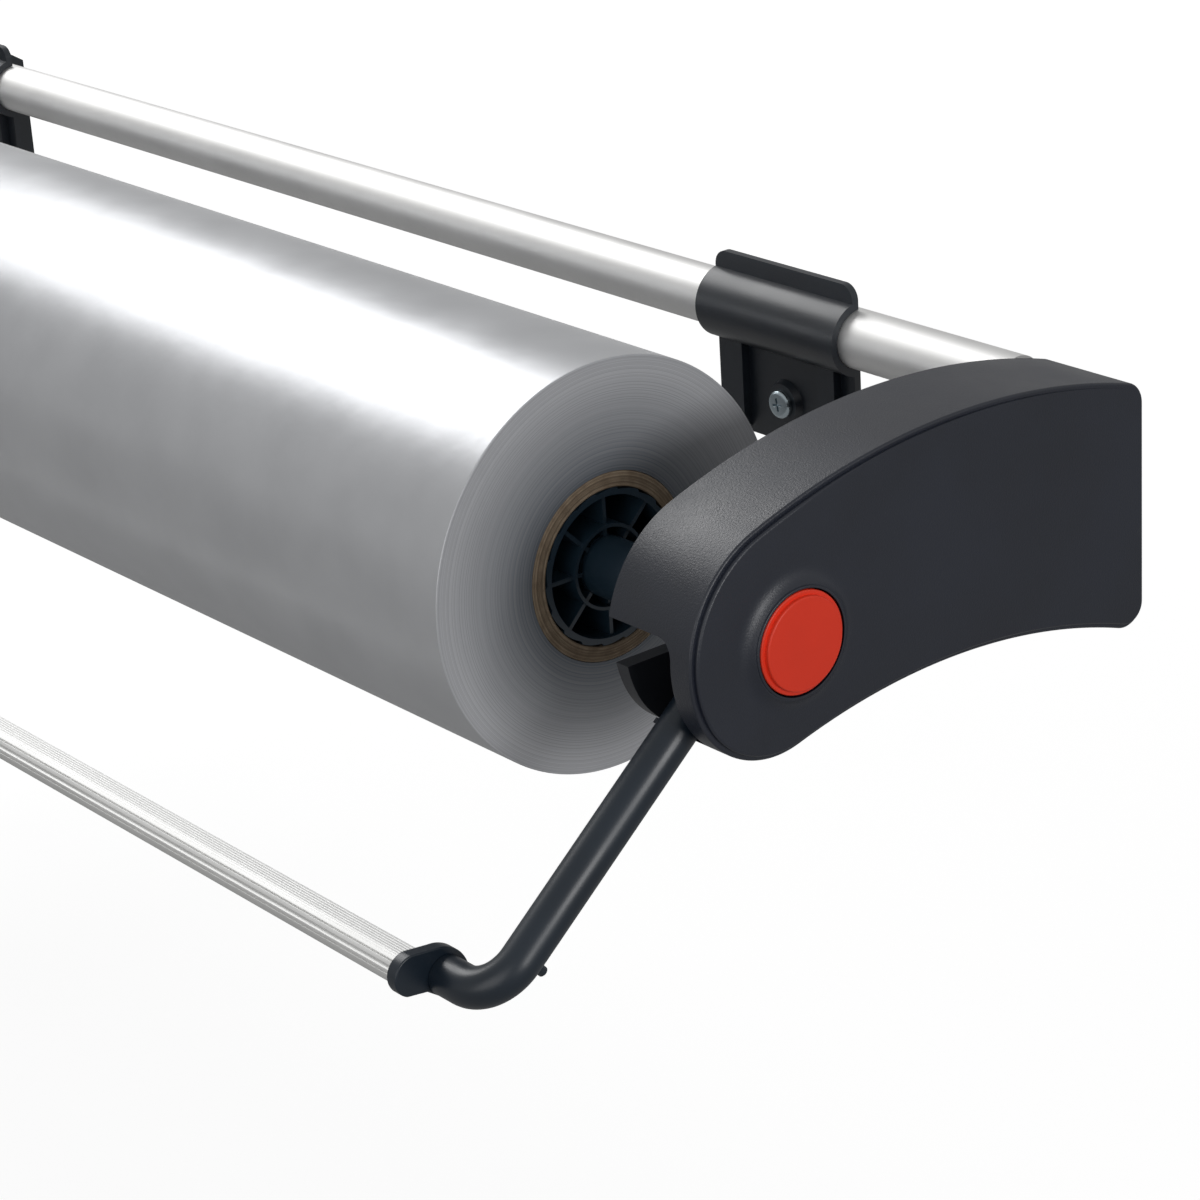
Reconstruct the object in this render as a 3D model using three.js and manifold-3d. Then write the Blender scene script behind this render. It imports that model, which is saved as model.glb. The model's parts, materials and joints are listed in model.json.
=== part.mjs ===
// A wall-hung dispenser for wide paper or film on a 76 mm core, as used behind a shop counter.
// Millimetres. X runs along the roll, to the right seen from the front, Y to the wall, Z up.
// The origin lies on the wall, midway along the roll, at the middle height of the two brackets.
// Each end is drawn in its own frame: u outwards from the roll's end face, then y and z from the roll axis.

import * as THREE from 'three';
import { mergeVertices } from 'three/addons/utils/BufferGeometryUtils.js';
import Module from 'manifold-3d';

const wasm = await Module();
wasm.setup();

// Fits
const gap = 0.3;
const overrun = 4;

// Roll, core and axle
const rollWidth = 1000;
const rollRadius = 100;
const coreOuterRadius = 45.6;
const coreBoreRadius = 38.3;
const axleRadius = 8;
const axisToWall = 223.5;

// Core plug: toothed crown, ribs, inner ring and hub, and the spacer sleeve outside it
const plugDepth = 38;
const crownStep = 1.1;
const crownWall = 2.4;
const crownTeeth = 18;
const plugRibs = 8;
const ribThickness = 2;
const ribSetback = 2;
const innerRingRadius = 20.8;
const innerRingWall = 1.6;
const hubRadius = 14.5;
const plugWeb = 3;
const plugRecess = 4;

// Side cover: tangent arcs seen from the end, around the roll axis
const coverStart = 70;
const coverDepth = 54.7;
const coverWall = 2.6;
const coverCeiling = 2.7;
const noseRadius = 59;
const chinBack = 10.5;
const chinDrop = 5;
const topRadius = 378;
const topCentreY = 106;
const underRadius = 345;
const underCentreY = 90;
const coverToWall = 1;
const coverCorner = 12;
const coverEdgeRound = 1.2;

// Raised plateau on the cover's face, with a shallow cone above a curved crease
const plateauInset = 2.5;
const plateauHeight = 2.3;
const plateauRound = 1.2;
const creaseRadius = 387;
const creaseCentreY = -10.8;
const creaseCentreZ = -327.9;
const facetDegrees = 2.1;

// Collar around the button
const collarRadius = 36;
const collarTopRadius = 26.6;
const collarHeight = 4;
const collarLip = 0.6;

// Notch in the cover's skirt for the arm and the axle
const notchTop = 13;
const notchCorner = 9;
const notchBelowArm = 11;
const notchFaceWall = 12.7;

// Cover screws, set in from the outline, at shares of the way from the roll axis to the rear face
const screwInset = 16;
const screwBossRadius = 5;
const topScrewShares = [0.1, 0.63];
const underScrewShares = [0.337, 0.925];
const coverScrewRadius = 1.9;
const coverScrewHeadRadius = 3.6;
const coverScrewHead = 2.4;
const coverScrewBite = 14;

// Inner plate
const plateThickness = 8;
const plateClearance = 0.5;
const slotHalf = 9.5;
const slotFlare = 22;
const bushWall = 1;
const bushArm = 9;
const railWidth = 2;
const railBelow = 32;

// Carrier tube on its spigots
const tubeRadius = 15;
const tubeWall = 2;
const tubeToWall = 26.5;
const tubeAboveAxis = 52;
const spigotLength = 30;
const tubeScrewRadius = 1.6;
const tubeScrewHeadRadius = 3.2;
const tubeScrewHead = 1.8;
const tubeScrewBite = 9;

// Latch behind each axle slot
const latchThickness = 3;
const latchFront = 17;
const latchNoseFlat = 2;
const latchBack = 10;
const latchDepth = 24;
const latchAxleGap = 1;
const tabHalfWidth = 3;
const tabFoot = 3.5;
const tabPost = 4;
const tabReach = 15.7;
const tabRise = 7.5;
const camSlack = 0.6;

// Pivot boss, arm hub and retaining ring
const bossRadius = 23.5;
const bossBore = 20;
const bossLatchGap = 1.3;
const bossLip = 2.1;
const bossShoulder = 3.5;
const retainerThickness = 2.3;
const retainerRadius = 27.5;
const grooveDepth = 1.5;
const retainerOpeningDegrees = 40;
const hubRingRadius = 31;
const hubWidth = 18.8;

// Arm
const armRadius = 9.5;
const armDegrees = 219.6;
const armReach = 201;
const armBend = 21;
const armAfterBend = 13;
const pegFromBend = 2.5;
const pegRadius = 2.5;
const pegOut = 6;
const pegIn = 4.5;
const pegChamfer = 0.8;

// Button, its shank, web and spring
const buttonRadius = 24;
const buttonPocketGap = 0.8;
const buttonHead = 5.7;
const buttonDiscRadius = 21.8;
const buttonDisc = 2.3;
const buttonRound = 0.8;
const buttonTravel = 6;
const shankRadius = 8;
const shankCut = 2.6;
const webClearance = 3;
const webThickness = 2.5;
const springWire = 1.6;
const springRadius = 11;
const springTurns = 4;

// End cap and cutter bar section, from the axis of the arm's inboard end
const capThickness = 7;
const capRound = 0.8;
const beakY = -16.5;
const beakZ = 5.6;
const beakRadius = 10;
const barInset = 2.5;
const capBackRadius = 18;
const capBackY = -4.5;
const capBackZ = -4;
const capBackFromDegrees = -32;
const capBackToDegrees = 88;
const capBeakToDegrees = 245;
const capFootY = 6;
const capFootZ = -16.5;
const capNotchY = -10;
const capNotchZ = -5;
const barTopLength = 7.9;
const barBackY = 2;
const barBackZ = 3;
const legTipY = 5.75;
const legTipZ = -10.4;
const legWidth = 5.6;
const bladeDegrees = -50.3;
const grooveCount = 7;
const groovePitch = 1.5;
const barGrooveDepth = 0.3;
const noseFromDegrees = 122;
const noseToDegrees = 268;
const fluteDegrees = [[126, 132], [147, 163], [172, 180]];
const fluteDepth = 0.9;
const chamberRadius = 4.6;
const chamberShift = 3.4;
const capPegLength = 12;
const armSpigotRadius = 6;
const armSpigot = 4;

// Saw blade
const bladeThickness = 0.8;
const bladeInside = 7;
const bladeOutside = 4.5;
const toothPitch = 10;
const toothDepth = 3;

// Wall bracket: clamp plate, wall block, screw and nut, from the carrier tube's axis
const bracketInboard = 91;
const clampWidth = 102.5;
const clampThickness = 4;
const clampUp = 28;
const clampDown = 66;
const clampCorner = 8;
const bandFrom = 28;
const bandTo = 41;
const bandHeight = 5;
const bandFoot = 3;
const screwBoss = 12;
const screwBossHeight = 3.7;
const screwDown = 43.5;
const blockHalfWidth = 18;
const blockFrontUp = 26;
const blockBackUp = 9;
const blockWall = 3.5;
const pocketDepth = 21.5;
const pocketUp = 20;
const pocketDown = 52;
const blockBossRadius = 8;
const wallHoleDown = 60;
const wallHoleRadius = 2.6;
const wallHoleSink = 2.4;
const clampScrewRadius = 2.4;
const clampScrewHeadRadius = 7.6;
const clampScrewHead = 3.4;
const crossLength = 7;
const crossWidth = 1.3;
const crossDepth = 1.6;
const nutFlats = 8;
const nutHeight = 4;
const nutInset = 2.5;

// Facets
const rollFacets = 64;
const tubeFacets = 36;
const roundFacets = 28;
const hubFacets = 18;
const smallFacets = 8;

const X = new THREE.Vector3(1, 0, 0);
const Y = new THREE.Vector3(0, 1, 0);
const Z = new THREE.Vector3(0, 0, 1);

// Where the carrier tube runs in y and z, and how far the roll axis lies below the middle of the brackets
const tubeY = axisToWall - tubeToWall;
const tubeZ = tubeAboveAxis;
const axisDrop = tubeZ - (clampDown - clampUp) / 2;

// Places along u, stacked outwards from the inner plate
const plateEnd = coverStart + plateThickness;
const latchStart = plateEnd + gap;
const latchEnd = latchStart + latchThickness;
const axleEnd = latchEnd + gap + gap;
const bossStart = latchEnd + bossLatchGap;
const retainerStart = bossStart + bossLip + gap;
const retainerEnd = retainerStart + retainerThickness;
const hubStart = retainerEnd + gap;
const hubEnd = hubStart + hubWidth;
const armU = (hubStart + hubEnd) / 2;
const capStart = armU - armBend - armAfterBend - capThickness;
const shoulderStart = hubEnd + gap;
const coverEnd = coverStart + coverDepth;
const ceilingU = coverEnd - coverCeiling;
const plateauU = coverEnd + plateauHeight;
const collarU = plateauU + collarHeight;
const headUnder = collarU - buttonHead;
const pocketFloor = headUnder - buttonTravel - gap;
const tabPostStart = latchEnd + tabReach;
const webStart = tabPostStart + tabPost + webClearance;
const webEnd = webStart + webThickness;
const shankTip = axleEnd + buttonTravel + gap + gap;
const rearY = axisToWall - coverToWall;

// Directions of the arm, and square to it on its lower side
const armTurn = THREE.MathUtils.degToRad(armDegrees);
const armDirection = new THREE.Vector2(Math.cos(armTurn), Math.sin(armTurn));
const armBelow = new THREE.Vector2(-armDirection.y, armDirection.x);
const barAxis = armDirection.clone().multiplyScalar(armReach);

// Finishes
function finish(color, roughness, metalness) {
  return new THREE.MeshStandardMaterial({ color, roughness, metalness, flatShading: true });
}

const coverPlastic = finish(0x2c3037, 0.55, 0);
const innerPlastic = finish(0x1c2026, 0.5, 0);
const plugPlastic = finish(0x18202a, 0.45, 0);
const armCoating = finish(0x242a33, 0.4, 0);
const redPlastic = finish(0xd8341f, 0.42, 0);
const whiteNylon = finish(0xd9d7cf, 0.5, 0);
const anodised = finish(0xc9cacb, 0.32, 1);
const zincPlate = finish(0xb9c4cc, 0.3, 1);
const springSteel = finish(0x9a9ca0, 0.35, 1);
const brightSteel = finish(0xbcbec1, 0.3, 1);
const cardboard = finish(0x8f7250, 0.9, 0);
const silverFilm = finish(0xc4c6ca, 0.35, 0.8);

// A geometry as a closed solid: shared corners merged, slivers dropped, faces outwards
function solidFrom(geometry) {
  const bare = geometry.clone();
  bare.deleteAttribute('normal');
  bare.deleteAttribute('uv');
  const merged = mergeVertices(bare);
  const vertProperties = new Float32Array(merged.attributes.position.array);
  const index = merged.index.array;
  const corners = [];
  for (let i = 0; i < index.length; i += 3) {
    const [a, b, c] = [index[i], index[i + 1], index[i + 2]];
    if (a !== b && b !== c && c !== a) corners.push(a, b, c);
  }
  let volume = 0;
  const [p, q, r] = [new THREE.Vector3(), new THREE.Vector3(), new THREE.Vector3()];
  for (let i = 0; i < corners.length; i += 3) {
    p.fromArray(vertProperties, 3 * corners[i]);
    q.fromArray(vertProperties, 3 * corners[i + 1]);
    r.fromArray(vertProperties, 3 * corners[i + 2]);
    volume += p.dot(q.cross(r));
  }
  if (volume < 0) corners.reverse();
  const triVerts = new Uint32Array(corners);
  return new wasm.Manifold(new wasm.Mesh({ numProp: 3, vertProperties, triVerts }));
}

function geometryOf(solid) {
  const mesh = solid.getMesh();
  const geometry = new THREE.BufferGeometry();
  geometry.setAttribute('position', new THREE.BufferAttribute(new Float32Array(mesh.vertProperties), 3));
  geometry.setIndex(new THREE.BufferAttribute(new Uint32Array(mesh.triVerts), 1));
  geometry.computeVertexNormals();
  return geometry;
}

// The same piece for the left end: mirrored in x, with its faces turned back outwards
function mirrored(geometry) {
  const copy = geometry.clone();
  const position = copy.attributes.position;
  for (let i = 0; i < position.count; i += 1) position.setX(i, -position.getX(i));
  const index = copy.index.array;
  for (let i = 0; i < index.length; i += 3) {
    [index[i + 1], index[i + 2]] = [index[i + 2], index[i + 1]];
  }
  copy.computeVertexNormals();
  return copy;
}

function joined(solids) {
  return solids.reduce((all, solid) => all.add(solid));
}

function cutBy(solid, tools) {
  return tools.reduce((left, tool) => left.subtract(tool), solid);
}

// Outlines: lists of 2-D points, and shapes made of them
const at = (a, b) => new THREE.Vector2(a, b);

function arc(centre, radius, fromDegrees, toDegrees, steps) {
  const points = [];
  for (let i = 0; i <= steps; i += 1) {
    const turn = THREE.MathUtils.degToRad(fromDegrees + ((toDegrees - fromDegrees) * i) / steps);
    points.push(at(centre.x + radius * Math.cos(turn), centre.y + radius * Math.sin(turn)));
  }
  return points;
}

function circle(centre, radius, facets) {
  return arc(centre, radius, 0, 360, facets).slice(0, facets);
}

function rectangle(left, right, low, high) {
  return [at(left, low), at(right, low), at(right, high), at(left, high)];
}

// Prisms: an outline in the y-z, x-z, x-y or a slanted plane, drawn out between two planes
function prism(points, from, to, axisA, axisB, axisOut) {
  const shape = new THREE.Shape(points);
  const geometry = new THREE.ExtrudeGeometry(shape, { depth: to - from, bevelEnabled: false });
  geometry.translate(0, 0, from);
  geometry.applyMatrix4(new THREE.Matrix4().makeBasis(axisA, axisB, axisOut));
  return solidFrom(geometry);
}

const alongX = (points, from, to) => prism(points, from, to, Y, Z, X);
const alongZ = (points, from, to) => prism(points, from, to, X, Y, Z);

// An outline in x-z drawn out along y
function alongY(points, from, to) {
  return prism(points, -to, -from, X, Z, Y.clone().negate());
}

// A body skinned over outlines of equal count in y-z, each at its own u
function skinned(levels) {
  const count = levels[0].points.length;
  const position = [];
  for (const { points, u } of levels) {
    for (const point of points) position.push(u, point.x, point.y);
  }
  const index = [];
  for (let level = 0; level + 1 < levels.length; level += 1) {
    for (let i = 0; i < count; i += 1) {
      const next = (i + 1) % count;
      const [a, b] = [level * count + i, level * count + next];
      index.push(a, b, b + count, a, b + count, a + count);
    }
  }
  const last = (levels.length - 1) * count;
  for (const [a, b, c] of THREE.ShapeUtils.triangulateShape(levels[0].points, [])) index.push(c, b, a);
  for (const [a, b, c] of THREE.ShapeUtils.triangulateShape(levels.at(-1).points, [])) {
    index.push(last + a, last + b, last + c);
  }
  const geometry = new THREE.BufferGeometry();
  geometry.setAttribute('position', new THREE.Float32BufferAttribute(position, 3));
  geometry.setIndex(index);
  return solidFrom(geometry);
}

// Turned pieces: a closed profile of (radius, place) turned about an axis through the origin
function turned(profile, facets, axisOut, axisA) {
  const geometry = new THREE.LatheGeometry([...profile, profile[0]], facets);
  const axisB = axisOut.clone().cross(axisA);
  geometry.applyMatrix4(new THREE.Matrix4().makeBasis(axisB, axisOut, axisA));
  return solidFrom(geometry);
}

const turnedX = (profile, facets) => turned(profile, facets, X, Y);

function ring(inner, outer, from, to, facets) {
  return turnedX(rectangle(inner, outer, from, to), facets);
}

function rod(radius, from, to, facets) {
  return turnedX(rectangle(0, radius, from, to), facets);
}

// The cover's outline, set in by a distance, counter-clockwise in y-z from its lower rear corner
function coverOutline(inset) {
  const degrees = THREE.MathUtils.radToDeg;
  const direction = (from, to) => degrees(Math.atan2(to.y - from.y, to.x - from.x));
  const nose = at(0, 0);
  const top = at(topCentreY, -Math.sqrt((topRadius - noseRadius) ** 2 - topCentreY ** 2));
  const chin = at(-chinBack, -chinDrop);
  const chinRadius = noseRadius - chin.length();
  const underReach = underRadius + chinRadius;
  const under = at(underCentreY, chin.y - Math.sqrt(underReach ** 2 - (underCentreY - chin.x) ** 2));
  const cornerY = rearY - coverCorner;
  const topCorner = at(cornerY, top.y + Math.sqrt((topRadius - coverCorner) ** 2 - (cornerY - top.x) ** 2));
  const underCornerReach = underRadius + coverCorner;
  const underCorner = at(cornerY, under.y + Math.sqrt(underCornerReach ** 2 - (cornerY - under.x) ** 2));
  const topTurn = direction(top, nose);
  const chinTurn = direction(nose, chin) + 360;
  const underTurn = direction(chin, under) + 360;
  const topCornerTurn = direction(top, topCorner);
  const underCornerTurn = direction(under, underCorner);
  return [
    ...arc(underCorner, coverCorner - inset, underCornerTurn + 180, 360, 4),
    ...arc(topCorner, coverCorner - inset, 0, topCornerTurn, 3),
    ...arc(top, topRadius - inset, topCornerTurn, topTurn, 9).slice(1),
    ...arc(nose, noseRadius - inset, topTurn, chinTurn, 10).slice(1),
    ...arc(chin, chinRadius - inset, chinTurn, underTurn, 7).slice(1),
    ...arc(under, underRadius + inset, underTurn - 180, underCornerTurn, 7).slice(1, -1),
  ];
}

// Height of the cover's top and underside above the roll axis at y, by crossing the outline there
function coverHeights(y) {
  const heights = [];
  const outline = coverOutline(0);
  outline.forEach((point, i) => {
    const next = outline[(i + 1) % outline.length];
    if ((point.x - y) * (next.x - y) < 0) {
      heights.push(point.y + ((next.y - point.y) * (y - point.x)) / (next.x - point.x));
    }
  });
  return { top: Math.max(...heights), under: Math.min(...heights) };
}

function coverScrewPlaces() {
  const above = (y) => at(y, coverHeights(y).top - screwInset);
  const below = (y) => at(y, coverHeights(y).under + screwInset);
  return [
    ...topScrewShares.map((share) => above(share * rearY)),
    ...underScrewShares.map((share) => below(share * rearY)),
  ];
}

// Moulded side cover: skirt, face with its plateau and collar, pivot boss and screw bosses
function sideCover() {
  const shell = skinned([
    { points: coverOutline(0), u: coverStart },
    { points: coverOutline(0), u: coverEnd - coverEdgeRound },
    { points: coverOutline(coverEdgeRound / 3), u: coverEnd - coverEdgeRound / 3 },
    { points: coverOutline(coverEdgeRound), u: coverEnd },
  ]);
  const skirt = shell
    .subtract(alongX(coverOutline(coverWall), coverStart - overrun, ceilingU))
    .subtract(armNotch());
  const boss = turnedX([
    at(0, bossStart),
    at(bossRadius, bossStart),
    at(bossRadius, retainerStart - gap),
    at(bossRadius - grooveDepth, retainerStart - gap),
    at(bossRadius - grooveDepth, retainerEnd + gap / 2),
    at(bossRadius, retainerEnd + gap / 2),
    at(bossRadius, shoulderStart),
    at(bossRadius + bossShoulder, shoulderStart),
    at(bossRadius + bossShoulder, ceilingU + gap),
    at(0, ceilingU + gap),
  ], roundFacets);
  const collar = turnedX([at(0, ceilingU), at(collarRadius, ceilingU), ...collarFlank(), at(0, collarU)],
    tubeFacets);
  const bosses = coverScrewPlaces().map((place) => screwPost(place));
  const buttonPocket = buttonRadius + buttonPocketGap;
  return cutBy(joined([skirt, plateau(), boss, collar, ...bosses]), [
    rod(bossBore, bossStart - overrun, webStart, roundFacets),
    rod(shankRadius + gap, webStart - overrun, webEnd + overrun, hubFacets),
    rod(bossBore, webEnd, pocketFloor + gap, roundFacets),
    rod(buttonPocket, pocketFloor, collarU + overrun, tubeFacets),
  ]);
}

// Hollow flank of the collar, from the plateau up to its rounded lip
function collarFlank() {
  const points = [];
  const rise = collarHeight - collarLip;
  const steps = 3;
  for (let i = 0; i <= steps; i += 1) {
    const turn = (Math.PI / 2) * (i / steps);
    const radius = collarRadius - (collarRadius - collarTopRadius - collarLip) * Math.sin(turn);
    points.push(at(radius, plateauU + rise * (1 - Math.cos(turn))));
  }
  points.push(at(collarTopRadius, collarU - collarLip / 3), at(collarTopRadius - collarLip, collarU));
  return points;
}

// The plateau stands on the face and falls away behind the crease, where a wide cone trims it
function plateau() {
  const base = coverEnd - coverEdgeRound;
  const raised = skinned([
    { points: coverOutline(plateauInset), u: base },
    { points: coverOutline(plateauInset), u: plateauU - plateauRound },
    { points: coverOutline(plateauInset + plateauRound / 3), u: plateauU - plateauRound / 3 },
    { points: coverOutline(plateauInset + plateauRound), u: plateauU },
  ]);
  const reach = creaseRadius + rearY;
  const fall = (reach - creaseRadius) * Math.tan(THREE.MathUtils.degToRad(facetDegrees));
  const cone = turnedX([
    at(0, base - overrun),
    at(reach, base - overrun - fall),
    at(reach, plateauU - fall),
    at(creaseRadius, plateauU),
    at(0, plateauU),
  ], rollFacets);
  return raised.intersect(cone.translate([0, creaseCentreY, creaseCentreZ]));
}

// The notch is open to the front and runs from above the raised arm to below the lowered one
function armNotch() {
  const rise = armDirection.y / armDirection.x;
  const belowAt = (y) => rise * y + notchBelowArm / armDirection.x;
  const front = -noseRadius - overrun;
  const back = (notchTop - belowAt(0)) / rise;
  const wedge = alongX([at(back, notchTop), at(front, notchTop), at(front, belowAt(front))],
    coverStart - overrun, coverEnd);
  const right = coverEnd - notchFaceWall;
  const low = belowAt(front) - overrun;
  const window = alongY([
    at(coverStart - overrun, low),
    at(right, low),
    ...arc(at(right - notchCorner, notchTop - notchCorner), notchCorner, 0, 90, 6),
    at(coverStart - overrun, notchTop),
  ], front - overrun, Math.max(back, 0) + overrun);
  return wedge.intersect(window);
}

function screwPost(place) {
  const post = alongX(circle(place, screwBossRadius, smallFacets), plateEnd + gap, ceilingU + gap);
  const hole = alongX(circle(place, coverScrewRadius + gap, smallFacets), plateEnd - overrun,
    plateEnd + coverScrewBite + gap);
  return post.subtract(hole);
}

// Inner plate: closes the cover, carries the axle in its open, flared slot and the tube on its spigot
function innerPlate() {
  const body = alongX(coverOutline(coverWall + plateClearance), coverStart, plateEnd);
  const coverRim = alongX(coverOutline(0), coverStart, coverEnd).subtract(body);
  const spigotSection = circle(at(tubeY, tubeZ), tubeRadius - tubeWall - gap, hubFacets);
  const spigot = alongX(spigotSection, coverStart - spigotLength, plateEnd).subtract(coverRim);
  const railTop = -slotHalf - gap;
  const rails = [
    rectangle(-latchFront - gap - railWidth, -latchFront - gap, -railBelow, railTop),
    rectangle(latchBack + gap, latchBack + gap + railWidth, -railBelow, railTop),
  ].map((points) => alongX(points, plateEnd - gap, latchEnd));
  const slot = alongX([
    at(-noseRadius - overrun, notchTop + gap),
    at(-noseRadius - overrun, -slotHalf),
    ...arc(at(0, 0), slotHalf, -90, 90, 8),
    at(-bushArm - gap, slotHalf),
    at(-slotFlare, notchTop + gap),
  ], coverStart - overrun, plateEnd + overrun);
  const holes = coverScrewPlaces().map((spot) => (
    alongX(circle(spot, coverScrewRadius + gap, smallFacets), coverStart - overrun, plateEnd + overrun)));
  return cutBy(joined([body, spigot, ...rails]), [slot, tubeScrewHole(), ...holes]);
}

function tubeScrewHole() {
  const low = tubeZ - tubeRadius - overrun;
  const hole = alongZ(circle(at(0, 0), tubeScrewRadius + gap, smallFacets), low,
    tubeZ - tubeRadius + tubeScrewBite + gap);
  return hole.translate([coverStart - spigotLength / 2, tubeY, 0]);
}

function tubeScrew() {
  const seat = -tubeRadius - gap;
  const profile = [
    at(0, seat - tubeScrewHead),
    at(tubeScrewHeadRadius - tubeScrewHead / 2, seat - tubeScrewHead),
    at(tubeScrewHeadRadius, seat - tubeScrewHead / 2),
    at(tubeScrewHeadRadius, seat),
    at(tubeScrewRadius, seat),
    at(tubeScrewRadius, seat + tubeScrewBite),
    at(0, seat + tubeScrewBite),
  ];
  return turned(profile, smallFacets, Z, X).translate([coverStart - spigotLength / 2, tubeY, tubeZ]);
}

function coverScrew(place) {
  const seat = coverStart - gap;
  const profile = [
    at(0, seat - coverScrewHead),
    at(coverScrewHeadRadius - coverScrewHead / 2, seat - coverScrewHead),
    at(coverScrewHeadRadius, seat - coverScrewHead / 2),
    at(coverScrewHeadRadius, seat),
    at(coverScrewRadius, seat),
    at(coverScrewRadius, plateEnd + coverScrewBite),
    at(0, plateEnd + coverScrewBite),
  ];
  return turnedX(profile, smallFacets).translate([0, place.x, place.y]);
}

// Nylon liner in the closed end of the axle slot
function axleBush() {
  const outer = slotHalf - gap;
  const inner = outer - bushWall;
  return alongX([
    at(-bushArm, -outer),
    ...arc(at(0, 0), outer, -90, 90, 8),
    at(-bushArm, outer),
    at(-bushArm, inner),
    ...arc(at(0, 0), inner, 90, -90, 8),
    at(-bushArm, -inner),
  ], coverStart, plateEnd);
}

// Latch: a nose in front of the axle, and a follower blade that rides in the button shank's cam slot
function axleLatch() {
  const noseTop = buttonTravel - slotHalf;
  const noseBack = -axleRadius - latchAxleGap;
  const plate = alongX([
    at(-latchFront, -slotHalf),
    at(noseBack - latchNoseFlat, noseTop),
    at(noseBack, noseTop),
    at(noseBack, -slotHalf),
    at(latchBack, -slotHalf),
    at(latchBack, -latchDepth),
    at(-latchFront, -latchDepth),
  ], latchStart, latchEnd);
  const low = -slotHalf - tabFoot;
  const outer = tabPostStart + tabPost;
  const top = tabRise - shankCut - gap;
  const tab = alongY([
    at(latchEnd - gap, low),
    at(outer, low),
    at(outer, -shankCut - gap),
    at(outer - tabRise, top),
    at(tabPostStart - tabRise, top),
    at(tabPostStart, -shankCut - gap),
    at(tabPostStart, -slotHalf),
    at(latchEnd - gap, -slotHalf),
  ], -tabHalfWidth, tabHalfWidth);
  return plate.add(tab);
}

// Release button: domed head with a raised disc, and a shank with the cam slot for the latch
function releaseButton() {
  const discTop = collarU + buttonDisc;
  const body = turnedX([
    at(0, shankTip),
    at(shankRadius, shankTip),
    at(shankRadius, headUnder),
    at(buttonRadius, headUnder),
    at(buttonRadius, collarU - buttonRound),
    at(buttonRadius - buttonRound, collarU),
    at(buttonDiscRadius, collarU),
    at(buttonDiscRadius, discTop - buttonRound),
    at(buttonDiscRadius - buttonRound, discTop),
    at(0, discTop),
  ], tubeFacets);
  const cutEnd = tabPostStart + tabPost + buttonTravel + gap;
  const relief = alongY(rectangle(shankTip - overrun, cutEnd, -shankRadius - overrun, -shankCut),
    -shankRadius - overrun, shankRadius + overrun);
  const rise = shankRadius + overrun;
  const foot = -shankCut - gap;
  const lean = rise - foot;
  const camSlot = alongY([
    at(tabPostStart - camSlack, foot),
    at(tabPostStart + tabPost + camSlack, foot),
    at(tabPostStart + tabPost + camSlack - lean, rise),
    at(tabPostStart - camSlack - lean, rise),
  ], -tabHalfWidth - gap, tabHalfWidth + gap);
  return cutBy(body, [relief, camSlot]);
}

class SpringCurve extends THREE.Curve {
  constructor(from, to) {
    super();
    this.from = from;
    this.to = to;
  }

  getPoint(t, target = new THREE.Vector3()) {
    const turn = 2 * Math.PI * springTurns * t;
    const place = this.from + (this.to - this.from) * t;
    return target.set(place, springRadius * Math.cos(turn), springRadius * Math.sin(turn));
  }
}

// The button's return spring, one unbroken wire between the web and the button's head
function buttonSpring() {
  const half = springWire / 2;
  const [from, to] = [webEnd + gap + half, headUnder - gap - half];
  const pitch = (to - from) / springTurns;
  console.log(`button spring: least gap between its turns ${(pitch - springWire).toFixed(2)} mm`);
  const section = new THREE.Shape(circle(at(0, 0), half, 5));
  const geometry = new THREE.ExtrudeGeometry(section, {
    steps: springTurns * 8,
    extrudePath: new SpringCurve(from, to),
  });
  return solidFrom(geometry);
}

// Open retaining ring in the boss's groove, behind the arm's hub
function armRetainer() {
  const inner = bossRadius - grooveDepth + gap;
  const half = retainerOpeningDegrees / 2;
  return alongX([
    ...arc(at(0, 0), retainerRadius, half, 360 - half, hubFacets),
    ...arc(at(0, 0), inner, 360 - half, half, hubFacets),
  ], retainerStart, retainerEnd);
}

// A straight run, one round bend and a straight run, with its stations at the ends of each
class BentPath extends THREE.Curve {
  constructor(start, corner, end, radius, bendSteps) {
    super();
    const into = corner.clone().sub(start).normalize();
    const out = end.clone().sub(corner).normalize();
    const centre = corner.clone().addScaledVector(into, -radius).addScaledVector(out, radius);
    this.stations = [start];
    for (let i = 0; i <= bendSteps; i += 1) {
      const turn = (Math.PI / 2) * (i / bendSteps);
      this.stations.push(centre.clone()
        .addScaledVector(out, -radius * Math.cos(turn))
        .addScaledVector(into, radius * Math.sin(turn)));
    }
    this.stations.push(end);
    this.directions = this.stations.map((station, i) => {
      const turn = (Math.PI / 2) * THREE.MathUtils.clamp((i - 1) / bendSteps, 0, 1);
      return into.clone().multiplyScalar(Math.cos(turn)).addScaledVector(out, Math.sin(turn));
    });
  }

  get steps() {
    return this.stations.length - 1;
  }

  getPoint(t, target = new THREE.Vector3()) {
    return target.copy(this.stations[Math.round(t * this.steps)]);
  }

  getTangent(t, target = new THREE.Vector3()) {
    return target.copy(this.directions[Math.round(t * this.steps)]);
  }

  getUtoTmapping(u) {
    return u;
  }
}

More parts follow.
